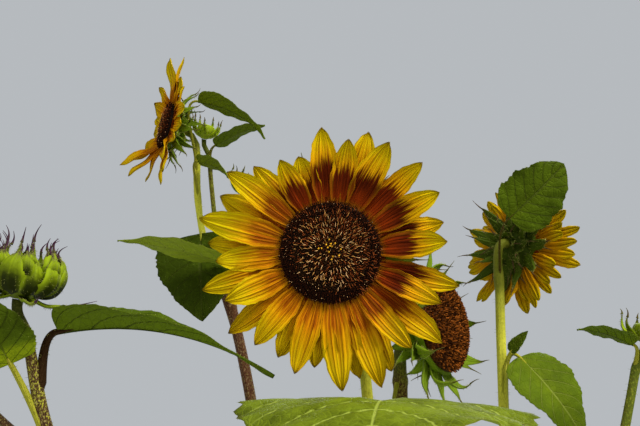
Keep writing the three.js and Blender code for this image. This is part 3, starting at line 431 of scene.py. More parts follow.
# Heads.
class Head:
    """A bloom, seed head or bud: its middle, the ways round it and its sizes."""

    def __init__(self, name):
        centre, face, self.disc, self.deep, self.dome = HEADS[name]
        self.name, self.at, self.face = name, arr(centre), unit(face)
        up = arr((0, 0, 1)) if abs(self.face[2]) < 0.95 else arr((0, 1, 0))
        self.up = unit(up - self.face * dot(up, self.face))
        self.right = np.cross(self.up, self.face)
        self.bud = name.endswith("_bud")
        self.stalk = next(limb for limb, row in LIMBS.items() if row[7] == name)

    def cup_profile(self):
        """Radius and height of the cup, from the stalk to the rim."""
        disc, deep, neck = self.disc, self.deep, LIMBS[self.stalk][8][1] * 1.15
        if self.bud:
            return [(neck, -deep), (disc * 0.72, -deep * 0.8), (disc, -deep * 0.25), (disc * 0.86, self.dome * 0.7),
                    (disc * 0.4, self.dome)]
        return [(neck, -deep), (disc * 0.62, -deep * 0.78), (disc * 0.98, -7.2),
                (disc, -3 if self.name in RAYS else -0.7)]

    def radius_at(self, z):
        profile = self.cup_profile()
        for (r0, z0), (r1, z1) in zip(profile, profile[1:]):
            if z <= z1:
                return mix(r0, r1, min(1, max(0, (z - z0) / (z1 - z0))))
        return profile[-1][0]

    def dome_height(self, x):
        return self.dome * (1 - 0.7 * np.minimum(x, 1.02) ** 3.2)

    def blade_ways(self, blade):
        """Outwards and sideways at a blade's root, its first direction and how far it turns."""
        clock, (first, last) = math.radians(blade["clock"]), blade["turn"]
        outward = self.up * math.cos(clock) + self.right * math.sin(clock)
        sideways = self.right * math.cos(clock) - self.up * math.sin(clock)
        return outward, sideways, math.radians(first), math.radians(last - first) or 1e-6

    def blade_point(self, blade, s):
        outward, sideways, first, change = self.blade_ways(blade)
        length, s = blade["length"], arr(s)
        r = blade["radius"] + length / change * (np.sin(first + change * s) - math.sin(first))
        z = blade["z"] + length / change * (math.cos(first) - np.cos(first + change * s))
        swing = blade["bend"] * length * s * s
        return self.at + outward * r[..., None] + self.face * z[..., None] + sideways * swing[..., None]

    def blade_frame(self, blade, s):
        """Middle line of a petal or bract, with the way across it, the way that it faces and the way along it."""
        outward, _, first, change = self.blade_ways(blade)
        along = unit(self.blade_point(blade, np.minimum(1, s + 0.01)) - self.blade_point(blade, s - 0.01))
        facing = spun(self.face, -outward, first + change * s)
        side = unit(np.cross(facing, along))
        normal = np.cross(along, side)
        roll = math.radians(blade["twist"]) * s
        return self.blade_point(blade, s), spun(side, normal, roll), spun(normal, -side, roll), along

    def bracts(self):
        blades = []
        below = limb_point(self.stalk, np.arange(0.7, 0.99, 0.02))
        for k, (count, share, z, (first, last), length, width) in enumerate(BRACTS[self.name]):
            for i in range(count):
                seed = BRACT_LOOK[self.name][0] * 100 + k * 40 + i
                clock = i + 0.5 * k + BRACT_PHASE.get(self.name, 0) + 0.3 * (chance(seed, 11) - 0.5)
                blade = dict(
                    clock=360 / count * clock, radius=self.radius_at(z) * share, z=z, width=width, seed=seed, row=k,
                    length=length * mix(0.84, 1.14, chance(seed, 12)),
                    turn=(first, last + 16 * (chance(seed, 13) - 0.5)),
                    bend=0.16 * (chance(seed, 14) - 0.5), twist=24 * (chance(seed, 15) - 0.5))
                if (np.linalg.norm(below - self.blade_point(blade, 1.0), axis=1) < STALK_ROOM).any():
                    blade["turn"] = (-8, 0)
                blades.append(blade)
        return blades

    def petals(self):
        rays, root = RAYS[self.name], self.disc * PETAL_ROOT
        clocks = rays.get("clock")
        count = len(clocks) if clocks else rays["count"]
        blades = []
        for i in range(count):
            seed = rays["order"] * 100 + i
            clock = clocks[i] if clocks else 360 / count * (i + 0.5 * (chance(seed, 1) - 0.5))
            length = rays["reach"][i] - root if clocks else rays["length"] * mix(0.84, 1.1, chance(seed, 2))
            lift = rays["lifts"][i] if "lifts" in rays else rays["lift"][i % 2] * mix(0.6, 1.2, chance(seed, 3))
            blades.append(dict(
                clock=clock, radius=root, z=-1.7, length=length, cup=0.12, seed=seed,
                turn=(lift, lift + mix(*rays["curl"], chance(seed, 4))),
                width=rays["width"] * mix(0.86, 1.12, chance(seed, 5)),
                bend=rays["bend"] * 2 * (chance(seed, 6) - 0.5), twist=rays["twist"] * 2 * (chance(seed, 7) - 0.5)))
        if self.name != "right_bloom":
            return blades
        # A second row, finer than the solids show, stands behind the first.
        for i, front in enumerate(blades[:]):
            front["width"] *= CROWDED_WIDTH
            length, (first, last) = front["length"] * mix(0.7, 0.95, chance(i, 41)), front["turn"]
            behind = dict(clock=front["clock"] + 180 / count, z=-2.4, length=length, seed=front["seed"] + 50)
            blades.append({**front, **behind, "turn": (first - 6, last - 6)})
        return sorted(blades, key=lambda blade: blade["clock"])


# Meshes.
class Growth:
    """Points, faces and painted values gathered for one piece. Points are in millimetres."""

    def __init__(self):
        self.points, self.faces, self.count = [], [], 0
        self.painted = {"place": [], "spot": [], "kind": []}

    def add(self, points, faces, place=(0, 0, 0), spot=None, kind=(0, 0, 0)):
        points = arr(points).reshape(-1, 3)
        self.faces += [np.asarray(f, np.int64) + self.count for f in faces]
        self.points.append(points)
        for label, rows in (("place", place), ("spot", points if spot is None else spot), ("kind", kind)):
            self.painted[label].append(np.broadcast_to(arr(rows).reshape(-1, 3), points.shape))
        self.count += len(points)

    def piece(self, name, material, nodes, smoothed=True):
        points = np.vstack(self.points) * MM
        loops = np.concatenate([f.reshape(-1) for f in self.faces])
        sizes = np.concatenate([np.full(len(f), f.shape[1]) for f in self.faces])
        mesh = bpy.data.meshes.new(name)
        mesh.vertices.add(len(points))
        mesh.vertices.foreach_set("co", points.astype(np.float32).ravel())
        mesh.loops.add(len(loops))
        mesh.loops.foreach_set("vertex_index", loops.astype(np.int32))
        mesh.polygons.add(len(sizes))
        mesh.polygons.foreach_set("loop_start", (np.cumsum(sizes) - sizes).astype(np.int32))
        mesh.polygons.foreach_set("use_smooth", np.full(len(sizes), smoothed))
        for label, rows in self.painted.items():
            layer = mesh.attributes.new(label, "FLOAT_VECTOR", "POINT")
            layer.data.foreach_set("vector", np.vstack(rows).astype(np.float32).ravel())
        mesh.materials.append(material)
        mesh.update()
        mesh.validate()
        shape = bpy.data.objects.new(name, mesh)
        bpy.context.scene.collection.objects.link(shape)
        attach(shape, "root")
        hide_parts(*nodes)


def together(x, y, z):
    """Three grids or numbers as one grid of triples."""
    return np.stack(np.broadcast_arrays(x, y, z), -1)


def grid_faces(rows, cols, wrap=False, flip=False):
    """Four-sided faces of a grid of points, row after row."""
    i, j = np.arange(rows - 1)[:, None] * cols, np.arange(cols if wrap else cols - 1)
    k = (j + 1) % cols
    faces = np.stack([i + j, i + k, i + cols + k, i + cols + j], -1).reshape(-1, 4)
    return faces[:, ::-1] if flip else faces


def sheet_faces(rows, cols):
    """A thin sheet: an upper and a lower grid and the strips between them."""
    n = rows * cols
    left, foot = np.arange(rows - 1) * cols, np.arange(cols - 1)
    right, tip = left + cols - 1, foot + n - cols

    def strip(a, b):
        return np.stack([a, b, b + n, a + n], -1)

    rim = [strip(left, left + cols)[:, ::-1], strip(right, right + cols), strip(foot, foot + 1),
           strip(tip, tip + 1)[:, ::-1]]
    return np.vstack([grid_faces(rows, cols, flip=True), grid_faces(rows, cols) + n, *rim])


def add_sheet(growth, top, bottom, place, spot, kind):
    """A thin sheet. Between the two values of kind stands 1 for its upper side and 0 for its lower one."""
    kinds = [np.broadcast_to((kind[0], side, kind[1]), top.shape) for side in (1, 0)]
    growth.add([top, bottom], [sheet_faces(*top.shape[:2])], [place, place], [spot, spot], kinds)


def path_frames(tangents):
    """Directions across a path, carried along it without turning, as the source does."""
    first = tangents[0]
    seed = arr((1, 0, 0)) if abs(first[0]) < 0.8 else arr((0, 1, 0))
    across = unit(seed - first * dot(seed, first))
    frames = []
    for along in tangents:
        across = unit(across - along * dot(across, along))
        frames.append((across, np.cross(along, across)))
    return np.array(frames)


def tube(growth, points, tangents, radii, sides, kind, tint, lobes=None, shares=(0, 1)):
    """A round stalk with capped ends. lobes gives its swelling at each angle."""
    frames, angle, n = path_frames(tangents), turns(sides), len(points)
    ring = spun(frames[:, 0, None], frames[:, 1, None], angle)
    wall = points[:, None] + ring * (radii[:, None] * (lobes(angle) if lobes else np.ones(sides)))[..., None]
    place = together(np.linspace(*shares, n)[:, None], np.cos(angle), tint)
    caps = np.arange(sides)[None, ::-1], (n - 1) * sides + np.arange(sides)[None]
    growth.add(wall, [grid_faces(n, sides, wrap=True), *caps], place, None, kind)
    return wall, ring


def pegs(growth, feet, aims, levels, sides=3, turn=0.0, lean=None):
    """Many small pegs that stand at feet and point along aims. levels is a list of (height, radius), closed with a
    point at the last one. lean is the way that they bend over, if they do."""
    aims, n = unit(aims), len(feet)
    helper = np.where(abs(aims[:, 2:]) < 0.9, arr((0, 0, 1)), arr((1, 0, 0)))
    across = unit(np.cross(aims, helper))
    over = np.cross(aims, across)

    def column(v):
        return np.broadcast_to(arr(v), n)[:, None]

    def middle(height):
        h = column(height)
        bent = 0 if lean is None else (lean - LEAN_SAG * aims) * h * h / column(levels[-1][0])
        return feet + aims * h + bent

    ways = spun(across[:, None], over[:, None], turns(sides) + column(turn))
    rings = [middle(height)[:, None] + ways * column(radius)[:, None] for height, radius in levels[:-1]]
    points = np.concatenate([*rings, middle(levels[-1][0])[:, None]], 1)
    top = len(rings) * sides
    last, up = top - sides, sides
    base = np.arange(n)[:, None] * (top + 1)
    around = [(j, (j + 1) % sides) for j in range(sides)]
    faces = [base + (row + j, row + k, row + up + k, row + up + j) for row in range(0, last, sides) for j, k in around]
    growth.add(points, faces + [base + (last + j, last + k, top) for j, k in around])


# Shader sums.
def maths(operation, swapped=False):
    """A method that adds the node for an operation on the socket and the other value, if there is one."""

    def method(self, *other):
        values = (self, *other)[::-1] if swapped else (self, *other)
        return self.paint.node("ShaderNodeMath", {"operation": operation}, dict(enumerate(values)))

    return method


class Value:
    """One socket of a material. Arithmetic on it adds the nodes for the sum."""

    def __init__(self, paint, socket):
        self.paint, self.socket = paint, socket

    __add__ = __radd__ = maths("ADD")
    __mul__ = __rmul__ = maths("MULTIPLY")
    __sub__, __rsub__ = maths("SUBTRACT"), maths("SUBTRACT", swapped=True)
    __truediv__, __rtruediv__ = maths("DIVIDE"), maths("DIVIDE", swapped=True)
    __pow__, __abs__ = maths("POWER"), maths("ABSOLUTE")
    sine, part = maths("SINE"), maths("FRACT")
    least, most = maths("MINIMUM"), maths("MAXIMUM")

    def ramp(self, low, high):
        """0 below low, 1 above high, smooth between."""
        settings = {"interpolation_type": "SMOOTHSTEP"}
        return self.paint.node("ShaderNodeMapRange", settings, {0: self, 1: low, 2: high, 3: 0.0, 4: 1.0})


class Paint:
    """A material being mixed: its nodes, and the values painted on the mesh."""

    def __init__(self, name, roughness, gloss):
        self.material = bpy.data.materials.new(name)
        self.material.use_nodes = True
        self.tree = self.material.node_tree
        self.shader = self.tree.nodes["Principled BSDF"].inputs
        self.plug(self.shader["Roughness"], roughness)
        self.plug(self.shader["Specular IOR Level"], gloss)

    def node(self, kind, settings=None, values=None, out=0):
        made = self.tree.nodes.new(kind)
        for label, value in (settings or {}).items():
            setattr(made, label, value)
        for key, value in (values or {}).items():
            self.plug(made.inputs[key], value)
        return Value(self, made.outputs[out])

    def plug(self, socket, value):
        """Links a value to the socket, or sets a number, a vector or a colour there."""
        if isinstance(value, Value):
            self.tree.links.new(value.socket, socket)
        elif hasattr(value, "__len__"):
            socket.default_value = tuple(value) + (1.0,) * (len(socket.default_value) - len(value))
        else:
            socket.default_value = value

    def attribute(self, label):
        return self.node("ShaderNodeAttribute", {"attribute_name": label}, out="Vector")

    def painted(self, label):
        vector = self.attribute(label)
        return [self.node("ShaderNodeSeparateXYZ", None, {0: vector}, out=k) for k in range(3)]

    @cached_property
    def spot(self):
        return self.attribute("spot")

    def stretched(self, scale):
        """The place on the surface in millimetres, times a number or one number for each way."""
        ways = scale if isinstance(scale, tuple) else (scale,) * 3
        return self.node("ShaderNodeVectorMath", {"operation": "MULTIPLY"}, {0: self.spot, 1: ways})

    def vector(self, x, y, z):
        return self.node("ShaderNodeCombineXYZ", None, {0: x, 1: y, 2: z})

    def noise(self, where, detail=2.0, roughness=0.5):
        """Noise over a vector, or over the stretched surface."""
        vector = where if isinstance(where, Value) else self.stretched(where)
        values = {"Vector": vector, "Scale": 1.0, "Detail": detail, "Roughness": roughness}
        return self.node("ShaderNodeTexNoise", None, values)

    def net(self, scale, width):
        """Fine lines between cells."""
        values = {"Vector": self.stretched(scale), "Scale": 1.0}
        edge = self.node("ShaderNodeTexVoronoi", {"feature": "DISTANCE_TO_EDGE"}, values, out="Distance")
        return 1 - edge.ramp(0.02, width)

    def blend(self, share, first, second):
        return self.node("ShaderNodeMix", {"data_type": "RGBA"}, {0: share, 6: first, 7: second}, out=2)

    def finish(self, colour, height, depth):
        """Plugs the colour, and a relief whose full height is depth millimetres."""
        self.plug(self.shader["Base Color"], colour)
        values = {"Strength": 1.0, "Distance": depth * MM, "Height": height}
        self.plug(self.shader["Normal"], self.node("ShaderNodeBump", None, values))
        return self.material


def shade(colour, factor):
    return tuple(min(1.0, c * factor) for c in colour)


def stem_skin(name, settings):
    """Streaked and speckled. kind is how brown-purple, how yellow and how mottled it is, and place ends with the
    neck's start."""
    paint = Paint(name, roughness=0.6, gloss=0.09)
    share, _, neck_from = paint.painted("place")
    brown, yellow, mottled = paint.painted("kind")
    streak = paint.noise((0.3, 0.3, 0.022), 4.0, 0.65)
    flush = paint.noise((0.03, 0.03, 0.014), 3.0)
    fleck = paint.noise((0.8, 0.8, 0.42), 2.0, 0.6)
    mottle = paint.noise((0.95, 0.95, 0.6), 3.0, 0.65)
    green = paint.blend(yellow * 0.9 + streak * 0.5 - 0.25, settings.stem_green, settings.stem_yellow)
    purple = paint.blend(streak, shade(settings.stem_brown, 0.6), shade(settings.stem_brown, 2.0))
    purple = paint.blend(mottled * 0.65, purple, OLIVE_BROWN)
    flushed = (brown * 1.1 + (flush - 0.5) * 1.5 + (mottle - 0.5) * (mottled * 2.2 + 0.5) - 0.05).ramp(0.3, 0.85)
    whole = paint.blend(flushed, green, purple)
    dark = fleck.ramp(0.52, 0.64) * (brown * 0.4 + mottled * 0.5 + 0.1)
    whole = paint.blend(dark, whole, shade(settings.stem_brown, 0.4))
    pale = fleck.ramp(0.46, 0.32) * (mottled * 0.45 + 0.25)
    whole = paint.blend(pale, whole, paint.blend(brown * brown, settings.stem_yellow, PALE_SPECK))
    # The neck below a head is dark green: partly the stem's own green, partly painted shade under the head.
    neck = (share - neck_from + (flush - 0.5) * 0.08).ramp(-0.02, 0.05) * 0.8
    neck_green_and_shade = paint.blend(streak, shade(settings.stem_green, 0.3), shade(settings.stem_green, 0.85))
    return paint.finish(paint.blend(neck, whole, neck_green_and_shade), streak * 0.6 + fleck * 0.4, depth=0.9)


def leaf_skin(name, settings, pale):
    """Net of veins over a quilted blade, paler below. kind is how dark the veins are or how purple the stalk is, upper
    side, and stalk or blade."""
    paint = Paint(name, roughness=0.5, gloss=0.02)
    s, u, tint = paint.painted("place")
    dark, upper, stalk = paint.painted("kind")
    base, reach = settings.pale_green if pale else settings.leaf_green, abs(u)
    off = abs((vein_phase(s, u) + 0.5).part() - 0.5)
    side_vein = (1 - off.ramp(0.008, 0.055)) * (1 - reach.ramp(0.7, 1.0) * 0.8)
    rib = 1 - (reach * (1.6 - s)).ramp(*((0.004, 0.02) if pale else (0.012, 0.055)))
    veins = side_vein.most(rib).least(1.0)
    groove = 1 - off.ramp(0.04, 0.2)
    net, fine = paint.net(0.16, 0.13), paint.net(0.42, 0.16)
    patch, blotch, grain = paint.noise(0.03, 4.0), paint.noise(0.11, 3.0), paint.noise(0.7)

    # Painted light and shade: the blade is lighter or darker with how light the leaf is, darker in the sunken grooves
    # by the veins as painted shade, and the most lit leaves take a painted yellow sunlit tone.
    light = (patch - 0.5) * 1.1 + (blotch - 0.5) * 0.7 + tint * 0.85 + 0.05 - groove * 0.1
    blade = paint.blend(light, shade(base, 0.5), shade(base, 2.0))
    heart = ((1 - reach.ramp(0.0, 0.55)) * 0.25 + 0.1) * tint
    blade = paint.blend(heart, blade, shade(settings.leaf_yellow, 0.7))
    lit = (tint + (blotch - 0.5) * 0.4).ramp(0.75, 1.3) * 0.7
    blade = paint.blend(lit, blade, shade(settings.leaf_yellow, 1.25))
    seen = 0.6 if pale else (tint + 0.25).least(1)
    blade = paint.blend((net * 0.22 + fine * 0.12) * seen, blade, shade(base, 2.3 if pale else 1.9))
    shaded, sunny = (1.3, 1.3) if pale else (0.55, 1)
    vein = paint.blend(tint, shade(settings.vein_green, shaded), shade(settings.vein_green, sunny))
    vein = paint.blend(dark, vein, shade(base, 0.28))
    blade = paint.blend(side_vein.most(rib * 1.1).least(1.0) * (0.85 if pale else 0.66), blade, vein)

    # Below, too, lighter leaves are painted yellower as painted light.
    below = paint.blend(patch * 0.6 + blotch * 0.4, shade(base, 1.2), shade(base, 2.4))
    below = paint.blend((tint - 0.3) * 0.9, below, shade(settings.leaf_yellow, 0.8))
    vein_below = paint.blend(dark, settings.vein_green, shade(base, 0.4))
    below = paint.blend(veins * 0.7 + net * 0.16, below, vein_below)
    rim = (reach + (paint.noise(0.12, 3.0) - 0.5) * 0.25).ramp(0.96, 1.08) * (0.55 if pale else 0.3)
    whole = paint.blend(rim, paint.blend(upper, below, blade), DRY_EDGE)
    purple = (dark * 1.35 + (grain - 0.5) * 0.5 - 0.15).ramp(0, 1)
    whole = paint.blend(stalk, whole, paint.blend(purple, shade(settings.stem_yellow, 0.62), STALK_BROWN))
    return paint.finish(whole, 1 - veins * 0.6 - net * 0.3 - fine * 0.1 + grain * 0.12, depth=1.0)


def petal_skin(name, settings):
    """A yellow petal with a red-brown foot. kind is how red the foot is, upper side, and how long the foot is."""
    paint = Paint(name, roughness=0.5, gloss=0.02)
    s, u, tint = paint.painted("place")
    red, upper, foot = paint.painted("kind")
    line = paint.noise(paint.vector(u * 9.0 + tint * 40.0, s * 1.3, tint * 9.0), 4.0, 0.65)
    broad = paint.noise(paint.vector(u * 2.2 + tint * 17.0, s * 2.4, tint * 5.0))
    groove = (u * 24.0 + line * 5.0).sine() * 0.5 + 0.5
    fold = 1 - (abs(abs(u) - 0.36)).ramp(0.01, 0.09)
    edge = s + (line - 0.5) * 0.6 + (broad - 0.5) * 0.24 + u * u * 0.1 - foot
    inside = 1 - (edge * 7.0 + 0.5).ramp(0.0, 1.0)
    glow = 1 - (edge * 2.4).ramp(-0.1, 1.0)
    margin = 1 - (abs(u) + (line - 0.5) * 0.5).ramp(0.66, 1.08) * (1.0 - red * 0.7)
    # tint carries each petal's chance tone and its painted light and shade: the lower it is, the more golden the
    # yellow.
    yellow = paint.blend(line * 0.9 + tint * 0.4 - 0.15, settings.petal_gold, settings.petal_yellow)
    yellow = paint.blend(glow * 0.7, yellow, settings.petal_orange)

    ripe = (s / foot + (broad - 0.5) * 0.5 + (line - 0.5) * 0.7).ramp(0.2, 0.75)
    deep = paint.blend(ripe * (red * 1.9 - 0.75), settings.petal_rust, settings.petal_maroon)
    faint = paint.blend((line - 0.44) * 4.5, settings.petal_orange, settings.petal_rust)
    stain = paint.blend((red * 1.3 + (line - 0.5) * 0.6 - 0.15).ramp(0.1, 0.95), faint, deep)
    streak = (red * 1.1 + (line - 0.42) * 1.8).ramp(0.1, 0.7)
    whole = paint.blend(inside * streak * margin, yellow, stain)
    heel = (1 - (s + (line - 0.5) * 0.2).ramp(0.02, 0.15)) * 0.6
    whole = paint.blend(heel, whole, settings.petal_heel)
    # Rust streaks from the line noise, and painted shade in the fine grooves and along the two fold lines.
    whole = paint.blend((1 - groove) * 0.21 + fold * 0.3 + (0.5 - line) * 0.6, whole, settings.petal_rust)
    burnt = (s + (broad - 0.5) * 0.12 + abs(u) * 0.03).ramp(0.95, 1.03) * 0.7
    whole = paint.blend(burnt, whole, BURNT_TIP)

    back = paint.blend(line * 0.9 + tint * 0.2, shade(settings.petal_gold, 0.85), shade(settings.petal_yellow, 0.9))
    # The back is orange towards its foot, and a little more orange in the grooves as painted shade.
    warm = (1 - s.ramp(0.3, 1.0)) * 0.8 + (1 - groove) * 0.1
    back = paint.blend(warm, back, shade(settings.petal_orange, 0.8))
    return paint.finish(paint.blend(upper, back, whole), groove * 0.6 + line * 0.8 - fold * 0.6, depth=1.4)


def bract_skin(name, base, tip, puffed):
    """A green bract with darker veins along it, a dark tip and painted highlights along its edges; if it is puffed,
    also a painted shaded heart and a painted lit upper part. kind is how dark the tip is, upper side, and cup or bract."""
    paint = Paint(name, roughness=0.55, gloss=0.06)
    s, u, tint = paint.painted("place")
    dark, upper, bract = paint.painted("kind")
    grain = paint.noise(0.35, 4.0, 0.6)
    line = paint.noise(paint.vector(u * 5.0 + tint * 31.0, s * 1.4, tint * 7.0), 3.0)
    green = paint.blend(line * 1.3 + tint * 0.6 - 0.45, shade(base, 0.4), shade(base, 1.6))
    green = paint.blend((1 - abs(u).ramp(0.02, 0.12)) * 0.35, green, shade(base, 1.9))
    if puffed:
        inward = 1 - (abs(u) + (grain - 0.5) * 0.25).ramp(0.4, 0.9)
        hollow = inward * (1 - (s + (grain - 0.5) * 0.3).ramp(0.36, 0.78))
        # Painted light on the upper part of a puffed lobe, and painted shade in its hollow heart.
        green = paint.blend((s - 0.3).ramp(0.1, 0.4) * 0.5, green, shade(base, 1.6))
        green = paint.blend(hollow * 0.97, green, shade(base, 0.07))
    # Painted highlights along the edges, stronger on the puffed lobes.
    green = paint.blend(abs(u).ramp(0.74, 1.0) * (0.5 if puffed else 0.25), green, shade(base, 1.7))
    end = (s + (line - 0.5) * 0.3 + (grain - 0.5) * 0.15 - (1 - abs(u)) * 0.04).ramp(0.72, 0.98) * dark
    whole = paint.blend(end, green, tip)
    if not puffed:
        whole = paint.blend((1 - upper) * 0.2, whole, shade(base, 1.5))
    cup = paint.blend(grain, shade(base, 0.6), shade(base, 1.15))
    return paint.finish(paint.blend(bract, cup, whole), grain * 0.5 + line * 0.6, depth=0.6)


def granular(name, low, high):
    """A rough surface whose colour wanders between two tones."""
    paint = Paint(name, roughness=0.7, gloss=0.06)
    grain = paint.noise(0.5, 4.0, 0.6)
    return paint.finish(paint.blend(grain.ramp(0.35, 0.65), low, high), grain, depth=0.6)


def plain(name, tone, roughness, gloss):
    paint = Paint(name, roughness, gloss)
    paint.plug(paint.shader["Base Color"], tone)
    return paint.material


SKINS = {}


def skin(name, make, *args):
    """One material for all pieces that share it."""
    if name not in SKINS:
        SKINS[name] = make(name, *args)
    return SKINS[name]


# Growing the pieces.
def grow_bristles(name, nodes, feet, aims, lengths, radius=BRISTLE_RADIUS):
    fuzz = Growth()
    pegs(fuzz, feet, aims, [(0, radius), (lengths, 0)])
    fuzz.piece(name + "_bristles", skin("bristle", plain, BRISTLE, 0.5, 0.03), nodes)


def grow_limb(name, settings, rng):
    """A stem or bough, swollen at its foot, at each leaf and fork and under its head."""
    on, at, head = LIMBS[name][0], LIMBS[name][1], LIMBS[name][7]
    span = run_length(limb_point(name, np.linspace(0, 1, 60)))[-1]
    rows = int(max(24, span / 7))
    t = np.linspace(0, 1, rows) if on else np.concatenate([np.linspace(0, 0.03, 10), np.linspace(0.035, 1, rows)])
    points, tangents, radii = limb_point(name, t), limb_tangent(name, t), limb_radius(name, t)
    length = run_length(points)
    knots = [(leaf["at"], *LEAF_KNOT) for leaf in LEAVES.values() if leaf["on"] == name]
    knots += [(row[1], *FORK_KNOT) for row in LIMBS.values() if row[0] == name]
    if on:
        swelling, width = FOOT_SWELLING
        radii = radii * (1 + swelling * np.exp(-np.maximum(length - limb_radius(on, at), 0) / width))
    for knot, swelling, width in knots:
        radii = radii * (1 + swelling * hump((t - knot) * span / width))
    if head:
        swelling, width = NECK_SWELLING
        radii = radii * (1 + swelling * np.exp(-(length[-1] - length) / width))
    sides, ribs, foot = 32 if radii.max() > 9 else 20, 6, 0
    if not on:
        tangents[0] = (0, 0, 1)
        ribs, foot = 9, np.exp(-points[:, 2] / 34)[:, None]

    def lobes(angle):
        rib = 0.022 * np.cos(ribs * angle + 0.7 * np.sin(length[:, None] / 90))
        knob = 0.015 * np.sin(3 * angle + length[:, None] / 17) * np.sin(length[:, None] / 23)
        return 1 + rib + knob + foot * (0.1 * np.cos(5 * angle + 0.6) + 0.05 * np.cos(3 * angle))

    neck = length[-1] - NECK_LENGTH.get(name, USUAL_NECK)
    neck_from = float(np.interp(neck, length, np.linspace(0, 1, len(length)))) if head else NO_NECK
    growth = Growth()
    wall, ring = tube(growth, points, tangents, radii, sides, LIMB_TINT[name], neck_from, lobes)
    growth.piece(name + "_skin", skin("stem_skin", stem_skin, settings), [name])

    # Bristles, thicker above where the plant is young.
    high = smooth(BALD_UP_TO, HAIRY_FROM, points[:-1, 2])
    weight = np.diff(length) * radii[:-1] * (0.35 + 0.65 * high)
    amount = int(settings.bristles * weight.sum() * STEM_BRISTLES)
    i = rng.choice(len(weight), amount, p=weight / weight.sum())
    j = rng.integers(0, sides, amount)
    part, turn = rng.random(amount)[:, None], rng.random(amount)[:, None]
    k = (j + 1) % sides
    feet = mix(mix(wall[i, j], wall[i + 1, j], part), mix(wall[i, k], wall[i + 1, k], part), turn)
    aims = unit(ring[i, j]) + rng.normal(0, 0.25, (amount, 3)) + tangents[i] * rng.uniform(-0.5, 0.2, amount)[:, None]
    long = settings.bristle_length / MM * rng.uniform(0.5, 1.3, amount) * mix(0.75, 1.1, high[i])
    clear = feet[:, 2] > 4
    grow_bristles(name, [name], feet[clear], aims[clear], long[clear], STEM_BRISTLE_RADIUS)


def leaf_stalk(leaf, rib):
    """Middle line, directions and radii of a leaf's stalk, from inside its limb to inside its blade."""
    curve, t, inside = petiole_curve(leaf, rib), np.linspace(0, 1, 22), (0.04, 0.09)
    path = cubic(curve, t)
    along = unit(cubic(curve, np.minimum(1, t + 0.01)) - cubic(curve, np.maximum(0, t - 0.01)))
    radius = (1.25 + rib[2] * 0.009) * mix(1.25, 0.8, t) * 0.88 * leaf["look"][4]
    radius = radius * (1 + 0.35 * np.exp(-t * np.linalg.norm(curve[3] - curve[0]) / 7))
    radius = np.minimum(radius, mix(0.82 * limb_radius(leaf["on"], leaf["at"]), 9, smooth(0, 0.3, t)))
    root = path[0] - along[0] * radius[0] * arr([[3.2], [1.5]])
    return (np.vstack([root, path, quad(rib[0], inside)]),
            np.vstack([along[:1], along[:1], along, quad_tangent(rib[0], inside)]),
            np.concatenate([radius[0] * arr((0.2, 0.8)), radius, radius[-1] * arr((0.75, 0.4))]))


def grow_leaf(name, leaf, settings):
    rib = midrib(leaf)
    length, (tint, vein, _, foot, _) = rib[2], leaf["look"]
    small, pale = length < SMALL_LEAF, name in PALE_LEAVES
    rows, cols = SMALL_LEAF_GRID if small else LEAF_GRID
    s = np.linspace(0, 1, rows) ** 1.25
    s[0], s[-1] = 0.002, 0.9995
    quarter = math.pi / 2 * 0.92
    s, u = np.meshgrid(s, np.sin(np.linspace(-1, 1, cols) * quarter) / math.sin(quarter), indexing="ij")
    points, normal, across = leaf_points(leaf, rib, s, u)
    outward, off = abs(u), abs(((vein_phase(s, u) + 0.5) % 1.0) - 0.5)
    cord = hump(off / 0.07) * (1 - outward) * smooth(0, 0.05, outward)
    thick = mix(0.45, 0.16, outward)
    rod = (0.9 + length * 0.0075) * hump(across / (0.7 + length * 0.006)) * (1 - 0.8 * s)
    top = points + normal * (thick - rod * 0.2 - cord * 0.25)[..., None]
    bottom = points - normal * (thick + rod + cord * 0.5)[..., None]
    growth = Growth()
    place = together(s, u, tint + foot * (1 - smooth(0.0, 0.45, s)))
    add_sheet(growth, top, bottom, place, together(across, s * length, leaf["seed"] * 50), (vein, 0))
    path, along, radius = leaf_stalk(leaf, rib)
    tube(growth, path, along, radius, 12, (leaf["purple"], 1, 1), tint, lambda angle: 1 + 0.07 * np.cos(5 * angle))
    material = skin("pale_leaf_skin" if pale else "leaf_skin", leaf_skin, settings, pale)
    growth.piece(name + "_blade", material, [name])

    # Bristles on the stalk, along the edge and on both sides.
    rng = np.random.default_rng(leaf["index"] + 40)
    amount = int(settings.bristles * run_length(path)[-1] * radius.mean() * STALK_BRISTLES)
    i = rng.integers(0, len(path) - 2, amount)
    frames = path_frames(along)
    out = spun(frames[i, 0], frames[i, 1], rng.uniform(0, 2 * math.pi, amount))
    feet = mix(path[i], path[i + 1], rng.random(amount)[:, None]) + out * radius[i][:, None] * 0.95
    more = int(settings.bristles * (SMALL_LEAF_BRISTLES if small else LEAF_BRISTLES))
    r, c = rng.integers(2, rows - 3, more), rng.integers(1, cols - 1, more)
    edge = rng.random(more) < 0.45
    c[edge] = np.where(rng.random(edge.sum()) < 0.5, 0, cols - 1)
    under = (rng.random(more) < 0.4)[:, None]
    away = np.where(under, -normal[r, 0], normal[r, 0])
    away = np.where(edge[:, None], unit(points[r, c] - points[r, cols // 2]), away)
    feet = np.vstack([feet, np.where(under, bottom[r, c], top[r, c])])
    aims = np.vstack([out, away]) + rng.normal(0, 0.25, (amount + more, 3))
    long = np.concatenate([rng.uniform(0.5, 1.15, amount), rng.uniform(0.3, 0.6, more)])
    grow_bristles(name, [name], feet, aims, settings.bristle_length / MM * long)


